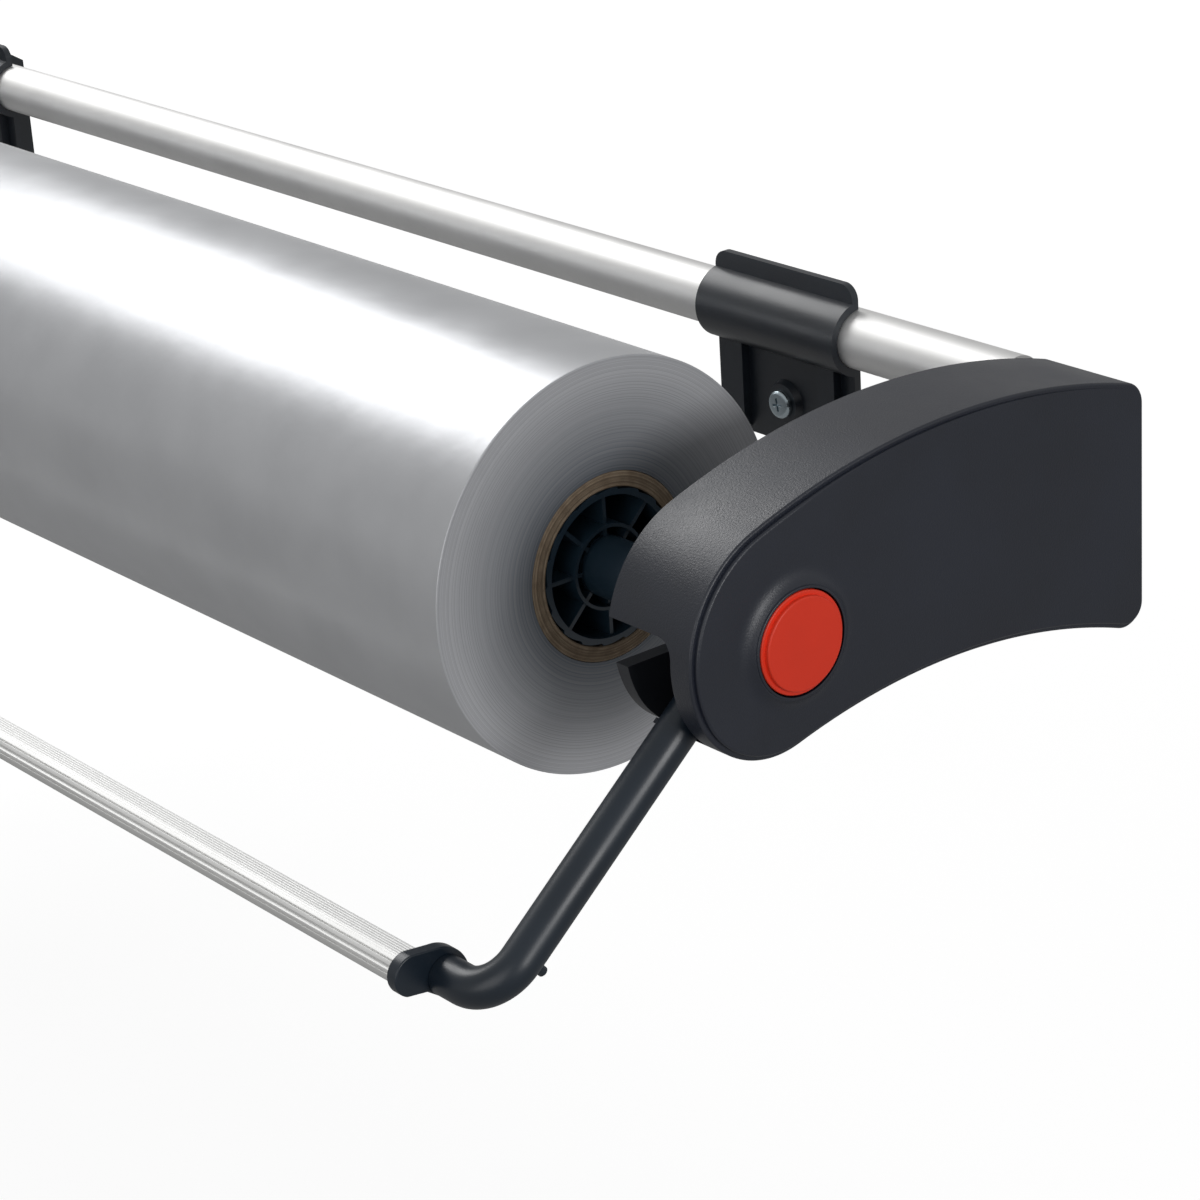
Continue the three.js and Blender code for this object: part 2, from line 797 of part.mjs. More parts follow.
// Arm: a hub ring around the cover's boss, a tube out of it, and a bend to the cutter bar
function cutterArm() {
  const hubInner = bossRadius + gap;
  const spot = (u, reach) => new THREE.Vector3(u, armDirection.x * reach, armDirection.y * reach);
  const capEnd = capStart + capThickness;
  const [start, corner, end] = [spot(armU, hubInner), spot(armU, armReach), spot(capEnd + gap, armReach)];
  const path = new BentPath(start, corner, end, armBend, 6);
  const section = new THREE.Shape(circle(at(0, 0), armRadius, hubFacets));
  const tube = solidFrom(new THREE.ExtrudeGeometry(section, { steps: path.steps, extrudePath: path }));
  const spigot = rod(armSpigotRadius, capEnd - armSpigot, capEnd + gap + gap, smallFacets)
    .translate([0, barAxis.x, barAxis.y]);
  const hub = ring(hubInner - gap, hubRingRadius, hubStart, hubEnd, roundFacets);
  return cutBy(joined([tube, spigot, hub]), [
    rod(hubInner, hubStart - overrun, hubEnd + overrun, roundFacets),
    pegSolid(gap),
  ]);
}

// Chamfered peg on the arm's lower side, just above the bend
function pegSolid(clearance) {
  const reach = armReach - armBend - pegFromBend;
  const start = armRadius - pegIn - clearance;
  const end = armRadius + pegOut + clearance;
  const chamfer = clearance > 0 ? 0 : pegChamfer;
  const radius = pegRadius + clearance;
  const profile = [
    at(0, start),
    at(radius, start),
    at(radius, end - chamfer),
    at(radius - chamfer, end),
    at(0, end),
  ];
  const below = new THREE.Vector3(0, armBelow.x, armBelow.y);
  const peg = turned(profile, smallFacets, below, X);
  return peg.translate([armU, armDirection.x * reach, armDirection.y * reach]);
}

// Outline of the end cap: a round beak in front, a round back and a straight foot
function capOutline() {
  return [
    at(capFootY, capFootZ),
    ...arc(at(capBackY, capBackZ), capBackRadius, capBackFromDegrees, capBackToDegrees, 7),
    ...arc(at(beakY, beakZ), beakRadius, 90, capBeakToDegrees, 9),
    at(capNotchY, capNotchZ),
  ];
}

// End cap: closes the bar, holds it by a peg in its chamber, and takes the arm's spigot
function endCap() {
  const outline = capOutline();
  const inner = capStart + gap;
  const geometry = new THREE.ExtrudeGeometry(new THREE.Shape(outline), {
    depth: capThickness - gap - capRound - capRound,
    bevelThickness: capRound,
    bevelSize: capRound,
    bevelOffset: -capRound,
    bevelSegments: 1,
  });
  geometry.translate(0, 0, inner + capRound);
  geometry.applyMatrix4(new THREE.Matrix4().makeBasis(Y, Z, X));
  const pegSection = circle(at(beakY + chamberShift, beakZ), chamberRadius - gap, smallFacets);
  const peg = alongX(pegSection, inner - capPegLength, inner + capRound);
  const socket = rod(armSpigotRadius + gap, capStart + capThickness - armSpigot - gap,
    capStart + capThickness + overrun, smallFacets);
  return solidFrom(geometry).add(peg).subtract(socket).translate([0, barAxis.x, barAxis.y]);
}

// Depth of the flutes on the bar's nose at a turn about the nose's centre, in degrees
function fluteAt(degrees) {
  for (const [from, to] of fluteDegrees) {
    if (degrees > from && degrees < to) {
      return fluteDepth * Math.sin((Math.PI * (degrees - from)) / (to - from));
    }
  }
  return 0;
}

// Section of the extruded cutter bar: grooved top, fluted nose, leg with a slot for the blade
function barSection() {
  const radius = beakRadius - barInset;
  const top = beakZ + radius;
  const points = [at(barBackY, barBackZ), at(beakY + barTopLength, top)];
  const height = (place) => (place > beakY ? top : beakZ + Math.sqrt(radius ** 2 - (place - beakY) ** 2));
  const grooveStart = beakY + barTopLength - groovePitch;
  for (let i = 0; i < grooveCount; i += 1) {
    const y = grooveStart - i * groovePitch;
    points.push(at(y + groovePitch / 4, height(y + groovePitch / 4)));
    points.push(at(y, height(y) - barGrooveDepth));
    points.push(at(y - groovePitch / 4, height(y - groovePitch / 4)));
  }
  for (let degrees = noseFromDegrees; degrees <= noseToDegrees; degrees += 4) {
    const reach = radius - fluteAt(degrees);
    const turn = THREE.MathUtils.degToRad(degrees);
    points.push(at(beakY + reach * Math.cos(turn), beakZ + reach * Math.sin(turn)));
  }
  const blade = bladeDirection();
  const across = at(-blade.y, blade.x).multiplyScalar(legWidth / 2);
  const tip = at(legTipY, legTipZ);
  points.push(at(capNotchY + barInset, capNotchZ + barInset));
  points.push(tip.clone().sub(across), tip.clone().add(across));
  return points;
}

function bladeDirection() {
  const turn = THREE.MathUtils.degToRad(bladeDegrees);
  return at(Math.cos(turn), Math.sin(turn));
}

function cutterBar() {
  const half = rollWidth / 2 + capStart;
  const body = alongX(barSection(), -half, half);
  const chamber = alongX(circle(at(beakY + chamberShift, beakZ), chamberRadius, smallFacets),
    -half - overrun, half + overrun);
  const blade = bladeDirection();
  const across = at(-blade.y, blade.x).multiplyScalar(bladeThickness / 2 + gap);
  const tip = at(legTipY, legTipZ);
  const deep = tip.clone().addScaledVector(blade, -bladeInside - gap);
  const out = tip.clone().addScaledVector(blade, overrun);
  const slot = alongX([
    deep.clone().sub(across),
    out.clone().sub(across),
    out.clone().add(across),
    deep.clone().add(across),
  ], -half - overrun, half + overrun);
  return cutBy(body, [chamber, slot]).translate([0, barAxis.x, barAxis.y]);
}

// Serrated blade, a strip in the bar's slot with its teeth out of the leg
function sawBlade() {
  const half = rollWidth / 2 + capStart - gap;
  const teeth = Math.floor((2 * half) / toothPitch);
  const points = [at(half, -bladeInside), at(-half, -bladeInside)];
  const valley = bladeOutside - toothDepth;
  const first = (-teeth * toothPitch) / 2;
  points.push(at(-half, valley));
  for (let i = 0; i < teeth; i += 1) {
    const start = first + i * toothPitch;
    points.push(at(start, valley), at(start + toothPitch / 2, bladeOutside));
  }
  points.push(at(-first, valley), at(half, valley));
  const blade = bladeDirection();
  const down = new THREE.Vector3(0, blade.x, blade.y);
  const across = X.clone().cross(down);
  const strip = prism(points.reverse(), -bladeThickness / 2, bladeThickness / 2, X, down, across);
  return strip.translate([0, barAxis.x + legTipY, barAxis.y + legTipZ]);
}

// Core plug: a toothed crown in the core, ribs, an inner ring and a hub on the axle
function corePlug() {
  const crownRadius = coreBoreRadius - gap;
  const crown = [];
  for (let i = 0; i < crownTeeth; i += 1) {
    const step = 360 / crownTeeth;
    crown.push(arc(at(0, 0), crownRadius, i * step, 360, 1)[0]);
    crown.push(arc(at(0, 0), crownRadius - crownStep, (i + 1 - 1 / 8) * step, 360, 1)[0]);
  }
  const shellInner = crownRadius - crownStep - crownWall;
  const back = -plugDepth;
  const shell = alongX(crown, back, 0).subtract(rod(shellInner, back - overrun, overrun, tubeFacets));
  const innerRing = ring(innerRingRadius - innerRingWall, innerRingRadius, back, 0, roundFacets);
  const hub = rod(hubRadius, back, -plugRecess, hubFacets);
  const web = rod(shellInner + gap, back, back + plugWeb, tubeFacets);
  const ribs = [];
  for (let i = 0; i < plugRibs; i += 1) {
    const rib = alongX(rectangle(hubRadius - gap, shellInner + gap, -ribThickness / 2, ribThickness / 2),
      back, -ribSetback);
    ribs.push(rib.rotate([(360 / plugRibs) * i, 0, 0]));
  }
  return cutBy(joined([shell, innerRing, hub, web, ...ribs]), [
    rod(axleRadius + gap, back - overrun, overrun, hubFacets),
    rod(hubRadius + gap, -plugRecess, overrun, hubFacets),
  ]);
}

// Spacer sleeve on the axle between the core plug's hub and the inner plate
function spacerSleeve() {
  return ring(axleRadius + gap, hubRadius, gap - plugRecess, coverStart - gap, hubFacets);
}

// Clamp plate: a flanged half-round wrap over the carrier tube, with bands and a screw boss below
function clampPlate() {
  const back = -gap;
  const front = back - clampThickness;
  const inner = tubeRadius + gap;
  const outer = inner + clampThickness;
  const turnAt = (y, radius) => THREE.MathUtils.radToDeg(Math.acos(y / radius));
  const [outerTurn, innerTurn] = [turnAt(front, outer), turnAt(back, inner)];
  const profile = [
    at(back, clampUp),
    at(front, clampUp),
    ...arc(at(0, 0), outer, outerTurn, 360 - outerTurn, 12),
    at(front, -clampDown),
    at(back, -clampDown),
    ...arc(at(0, 0), inner, 360 - innerTurn, innerTurn, 12),
  ];
  const half = clampWidth / 2;
  const body = alongX(profile, -half, half);
  const frame = alongY([
    ...arc(at(half - clampCorner, clampUp - clampCorner), clampCorner, 0, 90, 4),
    ...arc(at(clampCorner - half, clampUp - clampCorner), clampCorner, 90, 180, 4),
    ...arc(at(clampCorner - half, clampCorner - clampDown), clampCorner, 180, 270, 4),
    ...arc(at(half - clampCorner, clampCorner - clampDown), clampCorner, 270, 360, 4),
  ], -outer - overrun, overrun);
  const bandTop = -tubeRadius + bandFoot;
  const bands = [[bandFrom, bandTo], [-bandTo, -bandFrom]].map(([from, to]) => (
    alongX([
      at(back - gap, bandTop),
      at(front - bandHeight, bandTop),
      at(front - bandHeight, bandFoot + bandHeight - clampDown),
      at(front, bandFoot - clampDown),
      at(back - gap, bandFoot - clampDown),
    ], from, to)));
  const boss = turned([
    at(0, 0),
    at(screwBoss, 0),
    at(screwBoss - screwBossHeight / 2, screwBossHeight),
    at(0, screwBossHeight),
  ], hubFacets, Y.clone().negate(), X).translate([0, front + gap, -screwDown]);
  return cutBy(joined([body.intersect(frame), ...bands, boss]), [
    alongX(circle(at(0, 0), inner, hubFacets + smallFacets), -half - overrun, half + overrun),
    screwHole(clampScrewRadius + gap, front - screwBossHeight - overrun, overrun),
  ]);
}

function screwHole(radius, from, to) {
  return alongY(circle(at(0, -screwDown), radius, smallFacets), from, to);
}

// Wall block: a saddle behind the tube under a sloping top, hollow towards the wall, with two wall holes
function wallBlock() {
  const inner = tubeRadius + gap;
  const body = alongX([
    at(0, -clampDown),
    at(tubeToWall, -clampDown),
    at(tubeToWall, blockBackUp),
    at(0, blockFrontUp),
  ], -blockHalfWidth, blockHalfWidth);
  const pocketFront = tubeToWall - pocketDepth;
  const pocketHalf = blockHalfWidth - blockWall;
  const pocket = alongY(rectangle(-pocketHalf, pocketHalf, -pocketDown, -pocketUp), pocketFront,
    tubeToWall + overrun).subtract(screwHole(blockBossRadius, 0, tubeToWall + overrun + overrun));
  const nutFront = tubeToWall - nutInset - nutHeight;
  const nutSpace = alongY(hexagon(nutFlats / 2 + gap), nutFront - gap, tubeToWall + overrun)
    .translate([0, 0, -screwDown]);
  return cutBy(body, [
    alongX(circle(at(0, 0), inner, hubFacets), -clampWidth, clampWidth),
    pocket,
    nutSpace,
    screwHole(clampScrewRadius + gap, -overrun, tubeToWall),
    wallHole(0, inner + gap),
    wallHole(-wallHoleDown, 0),
  ]);
}

// A countersunk hole for a wall screw at a height, with the rim of its countersink at a place along y
function wallHole(height, rim) {
  return turned([
    at(0, -overrun),
    at(wallHoleRadius + wallHoleSink, -overrun),
    at(wallHoleRadius + wallHoleSink, rim),
    at(wallHoleRadius, rim + wallHoleSink),
    at(wallHoleRadius, tubeToWall + overrun),
    at(0, tubeToWall + overrun),
  ], smallFacets, Y, Z).translate([0, 0, height]);
}

function hexagon(halfFlats) {
  return circle(at(0, 0), halfFlats / Math.cos(Math.PI / 6), 6);
}

// Pan-head screw with a cross recess
function clampScrew() {
  const seat = gap + clampThickness + screwBossHeight;
  const headTop = seat + clampScrewHead;
  const end = nutInset - tubeToWall + gap;
  const rim = clampScrewHead / 3;
  const body = turned([
    at(0, end),
    at(clampScrewRadius, end),
    at(clampScrewRadius, seat),
    at(clampScrewHeadRadius, seat),
    at(clampScrewHeadRadius, seat + rim),
    at(clampScrewHeadRadius - rim, headTop - rim / 2),
    at(clampScrewHeadRadius - rim * 2, headTop),
    at(0, headTop),
  ], hubFacets, Y.clone().negate(), X);
  const cross = [0, 90].map((turn) => (
    alongY(rectangle(-crossLength / 2, crossLength / 2, -crossWidth / 2, crossWidth / 2),
      -headTop - overrun, -headTop + crossDepth).rotate([0, turn, 0])));
  return cutBy(body, cross).translate([0, 0, -screwDown]);
}

function clampNut() {
  const back = tubeToWall - nutInset;
  return alongY(hexagon(nutFlats / 2), back - nutHeight, back)
    .subtract(alongY(circle(at(0, 0), clampScrewRadius + gap, smallFacets), 0, tubeToWall + overrun))
    .translate([0, 0, -screwDown]);
}

// The scene graph
function piece(name, geometry, material) {
  const mesh = new THREE.Mesh(geometry, material);
  mesh.name = name;
  return mesh;
}

const dispenser = new THREE.Group();
dispenser.name = 'roll_dispenser';

// Pieces that run the whole length, in the frame of the roll axis at mid-length
const middle = new THREE.Group();
middle.position.set(0, -axisToWall, -axisDrop);
dispenser.add(middle);

const halfRoll = rollWidth / 2;
const tubeHalf = halfRoll + coverStart - gap;
const tubeBody = alongX(circle(at(tubeY, tubeZ), tubeRadius, tubeFacets), -tubeHalf, tubeHalf)
  .subtract(alongX(circle(at(tubeY, tubeZ), tubeRadius - tubeWall, tubeFacets), -tubeHalf - overrun,
    tubeHalf + overrun));
const tubeHoles = [1, -1].map((side) => (
  alongZ(circle(at(0, 0), tubeScrewRadius + gap, smallFacets), tubeZ - tubeRadius - overrun, tubeZ)
    .translate([side * (halfRoll + coverStart - spigotLength / 2), tubeY, 0])));

const axle = rod(axleRadius, -halfRoll - axleEnd, halfRoll + axleEnd, hubFacets);
const core = ring(coreBoreRadius, coreOuterRadius, -halfRoll, halfRoll, rollFacets);
const roll = ring(coreOuterRadius + gap, rollRadius, -halfRoll, halfRoll, rollFacets);

middle.add(
  piece('carrier_tube', geometryOf(cutBy(tubeBody, tubeHoles)), anodised),
  piece('roll_axle', geometryOf(axle), zincPlate),
  piece('cardboard_core', geometryOf(core), cardboard),
  piece('paper_roll', geometryOf(roll), silverFilm),
  piece('cutter_bar', geometryOf(cutterBar()), anodised),
  piece('saw_blade', geometryOf(sawBlade()), brightSteel),
);

// Pieces of one end, drawn for the right end
const endPieces = [
  ['side_cover', sideCover(), coverPlastic],
  ['inner_plate', innerPlate(), innerPlastic],
  ['axle_bush', axleBush(), whiteNylon],
  ['axle_latch', axleLatch(), whiteNylon],
  ['release_button', releaseButton(), redPlastic],
  ['button_spring', buttonSpring(), springSteel],
  ['arm_retainer', armRetainer(), springSteel],
  ['cutter_arm', cutterArm(), armCoating],
  ['stop_peg', pegSolid(0), armCoating],
  ['end_cap', endCap(), armCoating],
  ['core_plug', corePlug(), plugPlastic],
  ['spacer_sleeve', spacerSleeve(), plugPlastic],
  ['tube_screw', tubeScrew(), zincPlate],
  ...coverScrewPlaces().map((place, i) => [`cover_screw_${i + 1}`, coverScrew(place), zincPlate]),
];

const rightEnd = new THREE.Group();
rightEnd.position.x = halfRoll;
const leftEnd = new THREE.Group();
leftEnd.position.x = -halfRoll;
middle.add(rightEnd, leftEnd);
for (const [name, solid, material] of endPieces) {
  const geometry = geometryOf(solid);
  rightEnd.add(piece(`${name}_right`, geometry, material));
  leftEnd.add(piece(`${name}_left`, mirrored(geometry), material));
}

// The two wall brackets, each the same both ways round
const bracketPieces = [
  ['clamp_plate', clampPlate(), coverPlastic],
  ['wall_block', wallBlock(), innerPlastic],
  ['clamp_screw', clampScrew(), zincPlate],
  ['clamp_nut', clampNut(), zincPlate],
];
for (const [side, sign] of [['right', 1], ['left', -1]]) {
  const bracket = new THREE.Group();
  bracket.position.set(sign * (halfRoll - bracketInboard), tubeY, tubeZ);
  middle.add(bracket);
  for (const [name, solid, material] of bracketPieces) {
    bracket.add(piece(`${name}_${side}`, geometryOf(solid), material));
  }
}

export default dispenser;
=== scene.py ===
"""The looks of a wall-hung dispenser for a wide roll of film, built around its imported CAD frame.

Shapes are drawn in millimetres. Each end has its own frame: u outwards from the roll's end face, then
y towards the wall and z up from the roll axis. Pieces are placed in metres in the frame of the CAD.
"""

import json
import math

import bmesh
import bpy
from mathutils import Matrix, Vector

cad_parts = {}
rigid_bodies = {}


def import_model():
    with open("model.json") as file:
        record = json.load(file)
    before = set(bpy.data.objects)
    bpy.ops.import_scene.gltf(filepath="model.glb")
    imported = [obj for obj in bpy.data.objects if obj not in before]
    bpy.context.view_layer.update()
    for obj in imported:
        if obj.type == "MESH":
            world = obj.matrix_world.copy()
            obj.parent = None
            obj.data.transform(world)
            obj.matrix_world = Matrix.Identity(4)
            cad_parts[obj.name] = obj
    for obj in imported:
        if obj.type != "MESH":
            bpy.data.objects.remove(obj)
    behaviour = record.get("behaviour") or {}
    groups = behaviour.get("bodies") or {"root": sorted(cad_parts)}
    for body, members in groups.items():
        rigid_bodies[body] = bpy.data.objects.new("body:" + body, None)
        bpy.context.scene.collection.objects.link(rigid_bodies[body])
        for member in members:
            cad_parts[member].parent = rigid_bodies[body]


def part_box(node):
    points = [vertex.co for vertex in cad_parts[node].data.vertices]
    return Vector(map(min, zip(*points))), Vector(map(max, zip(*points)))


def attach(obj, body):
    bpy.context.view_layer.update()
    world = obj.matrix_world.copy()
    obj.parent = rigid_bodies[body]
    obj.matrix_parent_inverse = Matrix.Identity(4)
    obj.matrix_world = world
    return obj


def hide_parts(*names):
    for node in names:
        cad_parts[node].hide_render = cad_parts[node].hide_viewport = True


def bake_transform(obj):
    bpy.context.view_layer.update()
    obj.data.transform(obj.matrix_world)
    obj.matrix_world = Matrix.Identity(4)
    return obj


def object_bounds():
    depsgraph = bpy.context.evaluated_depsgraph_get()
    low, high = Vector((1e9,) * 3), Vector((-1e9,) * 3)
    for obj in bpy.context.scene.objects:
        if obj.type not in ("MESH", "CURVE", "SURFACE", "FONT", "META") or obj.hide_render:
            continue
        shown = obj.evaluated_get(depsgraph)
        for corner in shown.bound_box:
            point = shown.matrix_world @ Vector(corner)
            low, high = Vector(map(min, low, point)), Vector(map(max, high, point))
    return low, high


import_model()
cad_low, cad_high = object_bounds()

MM = 0.001
GAP = 0.3
OVERRUN = 4
SIDES = {"right": 1, "left": -1}

# The places that the frame gives, in millimetres
axle_low, axle_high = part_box("roll_axle")
AXIS_Y = (axle_low.y + axle_high.y) / 2 / MM
AXIS_Z = (axle_low.z + axle_high.z) / 2 / MM
AXLE_RADIUS = (axle_high.y - axle_low.y) / 2 / MM
HALF_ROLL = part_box("paper_roll")[1].x / MM
ROLL_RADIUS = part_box("paper_roll")[1].z / MM - AXIS_Z
BRACKET_X = sum(corner.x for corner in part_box("clamp_plate_right")) / 2 / MM
TUBE_CENTRE_Y = sum(corner.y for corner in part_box("carrier_tube")) / 2 / MM
TUBE_CENTRE_Z = sum(corner.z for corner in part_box("carrier_tube")) / 2 / MM
WALL_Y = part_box("wall_block_right")[1].y / MM

# Roll, core and core plug
CORE_OUTER = 45.6
CORE_BORE = 38.3
ROLL_EDGE = 0.5
WOUND_STEPS = 46
WOUND_STEP_DEPTH = 0.05
WOUND_WAVE = 1.7
ROLL_EDGE_DEGREES = 70
CORE_PLIES = 9
CORE_PLY_STEP = 0.12
CORE_PLY_SEAM = 0.1
PLUG_DEPTH = 38
CROWN_STEP = 1.1
CROWN_WALL = 2.4
CROWN_TEETH = 18
CROWN_TOOTH = ((0, 0), (0.2, 0.08), (0.4, 0.28), (0.6, 0.58), (0.8, 0.9), (0.9, 1))
PLUG_RIBS = 8
RIB_THICKNESS = 2
RIB_SETBACK = 2
INNER_RING = 20.8
INNER_RING_WALL = 1.6
HUB_RADIUS = 14.5
PLUG_WEB = 3
PLUG_RECESS = 4
AXLE_CHAMFER = 1

# Side cover, drawn with tangent arcs
COVER_START = 70
COVER_DEPTH = 54.7
COVER_WALL = 2.6
COVER_CEILING = 2.7
NOSE_RADIUS = 59
CHIN_BACK = 10.5
CHIN_DROP = 5
TOP_RADIUS = 378
TOP_CENTRE_Y = 106
UNDER_RADIUS = 345
UNDER_CENTRE_Y = 90
COVER_TO_WALL = 1
COVER_CORNER = 12
COVER_EDGE = 1.2
PLATEAU_INSET = 2.5
PLATEAU_HEIGHT = 2.3
PLATEAU_ROUND = 1.2
CREASE_RADIUS = 387
CREASE_Y = -10.8
CREASE_Z = -327.9
FACET_DEGREES = 2.1
COLLAR_RADIUS = 36
COLLAR_TOP = 25.9
COLLAR_HEIGHT = 4
COLLAR_LIP = 0.6
NOTCH_TOP = 13
NOTCH_CORNER = 9
NOTCH_BELOW_ARM = 11
NOTCH_FACE_WALL = 12.7

# Screws of the cover and of the tube
SCREW_INSET = 16
SCREW_BOSS = 5
TOP_SCREW_SHARES = (0.1, 0.63)
UNDER_SCREW_SHARES = (0.337, 0.925)
COVER_SCREW = 1.9
COVER_SCREW_HEAD = 3.6
COVER_SCREW_RISE = 2.4
COVER_SCREW_BITE = 14
COVER_SCREW_CROSS = (3.6, 0.8, 1.0)
TUBE_SCREW = 1.6
TUBE_SCREW_HEAD = 3.2
TUBE_SCREW_RISE = 1.8
TUBE_SCREW_BITE = 9
TUBE_SCREW_CROSS = (3.2, 0.7, 0.9)
HEAD_ROUND = 0.7
HEAD_ROUND_DEGREES = 78

# Inner plate with its slot, liner, latch and spigot
PLATE_THICKNESS = 8
PLATE_CLEARANCE = 0.5
SLOT_HALF = 9.5
SLOT_FLARE = 22
BUSH_WALL = 1
BUSH_ARM = 9
RAIL_WIDTH = 2
RAIL_BELOW = 32
TUBE_RADIUS = 15
TUBE_WALL = 2
SPIGOT_LENGTH = 30
LATCH_THICKNESS = 3
LATCH_FRONT = 17
LATCH_NOSE_FLAT = 2
LATCH_BACK = 10
LATCH_DEPTH = 24
LATCH_AXLE_GAP = 1
TAB_HALF = 3
TAB_FOOT = 3.5
TAB_POST = 4
TAB_START = 97
TAB_RISE = 7.5

# Pivot boss, arm and button
BOSS_RADIUS = 23.5
BOSS_BORE = 20
BOSS_LIP = 2.1
BOSS_LATCH_GAP = 1.3
BOSS_SHOULDER = 3.5
RETAINER_THICKNESS = 2.3
RETAINER_RADIUS = 27.5
GROOVE_DEPTH = 1.5
RETAINER_OPENING_DEGREES = 40
HUB_RING_RADIUS = 31
HUB_WIDTH = 18.8
ARM_RADIUS = 9.5
ARM_DEGREES = 219.6
ARM_REACH = 201
ARM_BEND = 21
PEG_FROM_BEND = 2.5
PEG_RADIUS = 2.5
PEG_OUT = 6
PEG_IN = 4.5
PEG_CHAMFER = 0.8
BUTTON_RADIUS = 24
BUTTON_POCKET_GAP = 0.8
BUTTON_HEAD = 5.7
BUTTON_DISC_RADIUS = 21.8
BUTTON_DISC = 2.3
BUTTON_ROUND = 0.8
BUTTON_TRAVEL = 6
SHANK_RADIUS = 8
SHANK_CUT = 2.6
CAM_SLACK = 0.6
WEB_CLEARANCE = 3
WEB_THICKNESS = 2.5
SPRING_WIRE = 1.6
SPRING_RADIUS = 11
SPRING_TURNS = 4

# End cap, cutter bar and blade, from the axis of the arm's inboard end
CAP_START = 56
CAP_THICKNESS = 7
CAP_ROUND = 0.8
BEAK_Y = -16.5
BEAK_Z = 5.6
BEAK_RADIUS = 10
BAR_INSET = 2.5
CAP_BACK_RADIUS = 18
CAP_BACK_Y = -4.5
CAP_BACK_Z = -4
CAP_BACK_FROM_DEGREES = -32
CAP_BACK_TO_DEGREES = 88
CAP_BEAK_TO_DEGREES = 245
CAP_FOOT_Y = 6
CAP_FOOT_Z = -16.5
CAP_TRIM = 0.03
CAP_NOTCH_Y = -10
CAP_NOTCH_Z = -5
BAR_TOP_LENGTH = 7.9
BAR_BACK_Y = 2
BAR_BACK_Z = 3
LEG_TIP_Y = 5.75
LEG_TIP_Z = -10.4
LEG_WIDTH = 5.6
BLADE_DEGREES = -50.3
GROOVE_COUNT = 7
GROOVE_PITCH = 1.5
GROOVE_SHARES = (1, 0.7, 0.35, 0, -0.35, -0.7, -1)
BAR_GROOVE_DEPTH = 0.12
FLUTE_DEPTH = 0.9
NOSE_FROM_DEGREES = 122
NOSE_TO_DEGREES = 268
NOSE_STEP_DEGREES = 2
FLUTE_DEGREES = ((126, 132), (147, 163), (172, 180))
CHAMBER_RADIUS = 4.6
CHAMBER_SHIFT = 3.4
CAP_PEG_LENGTH = 12
ARM_SPIGOT_RADIUS = 6
ARM_SPIGOT = 4
BLADE_THICKNESS = 0.8
BLADE_INSIDE = 7
BLADE_OUTSIDE = 4.5
TOOTH_PITCH = 10
TOOTH_DEPTH = 3

# Wall bracket, from the axis of the carrier tube
CLAMP_WIDTH = 102.5
CLAMP_THICKNESS = 4
CLAMP_UP = 28
CLAMP_DOWN = 66
CLAMP_CORNER = 8
BAND_FROM = 28
BAND_TO = 41
BAND_HEIGHT = 5
BAND_FOOT = 3
SCREW_BOSS_RADIUS = 12
SCREW_BOSS_HEIGHT = 3.7
SCREW_DOWN = 43.5
BLOCK_HALF = 18
BLOCK_FRONT_UP = 26
BLOCK_BACK_UP = 9
BLOCK_WALL = 3.5
POCKET_DEPTH = 21.5
POCKET_UP = 20
POCKET_DOWN = 52
POCKET_CORNER = 2
BLOCK_BOSS = 8
WALL_HOLE_DOWN = 60
WALL_HOLE_RADIUS = 2.6
WALL_HOLE_SINK = 2.4
CLAMP_SCREW = 2.4
CLAMP_SCREW_HEAD = 7.6
CLAMP_SCREW_RISE = 3.4
CLAMP_SCREW_CROSS = (7, 1.3, 1.6)
CLAMP_SCREW_DEGREES = 12
NUT_FLATS = 8
NUT_HEIGHT = 4
NUT_INSET = 2.5

# Steps of round forms
ROLL_STEPS = 256
ROUND_STEPS = 96
SMALL_STEPS = 40
WIRE_STEPS = 12
COIL_STEPS = 48
UNDER_CORNER_STEPS = 14
TOP_CORNER_STEPS = 12
TOP_STEPS = 54
NOSE_STEPS = 44
CHIN_STEPS = 26
UNDER_STEPS = 40
NOTCH_STEPS = 16
LIP_STEPS = 5
CAP_BACK_STEPS = 28
CAP_BEAK_STEPS = 32
HEAD_STEPS = 8
BEVEL_STEPS = 3

# Places along u: the cap's outer face, and then outwards from the inner plate
CAP_END = CAP_START + CAP_THICKNESS
PLATE_END = COVER_START + PLATE_THICKNESS
LATCH_START = PLATE_END + GAP
LATCH_END = LATCH_START + LATCH_THICKNESS
AXLE_END = LATCH_END + 2 * GAP
BOSS_START = LATCH_END + BOSS_LATCH_GAP
RETAINER_START = BOSS_START + BOSS_LIP + GAP
RETAINER_END = RETAINER_START + RETAINER_THICKNESS
HUB_START = RETAINER_END + GAP
HUB_END = HUB_START + HUB_WIDTH
ARM_U = (HUB_START + HUB_END) / 2
SHOULDER_START = HUB_END + GAP
COVER_END = COVER_START + COVER_DEPTH
CEILING_U = COVER_END - COVER_CEILING
PLATEAU_U = COVER_END + PLATEAU_HEIGHT
COLLAR_U = PLATEAU_U + COLLAR_HEIGHT
HEAD_UNDER = COLLAR_U - BUTTON_HEAD
POCKET_FLOOR = HEAD_UNDER - BUTTON_TRAVEL - GAP
WEB_START = TAB_START + TAB_POST + WEB_CLEARANCE
WEB_END = WEB_START + WEB_THICKNESS
SPRING_START = WEB_END + GAP + SPRING_WIRE / 2
SPRING_END = HEAD_UNDER - GAP - SPRING_WIRE / 2
SHANK_TIP = AXLE_END + BUTTON_TRAVEL + 2 * GAP
TUBE_Y = TUBE_CENTRE_Y - AXIS_Y
TUBE_Z = TUBE_CENTRE_Z - AXIS_Z
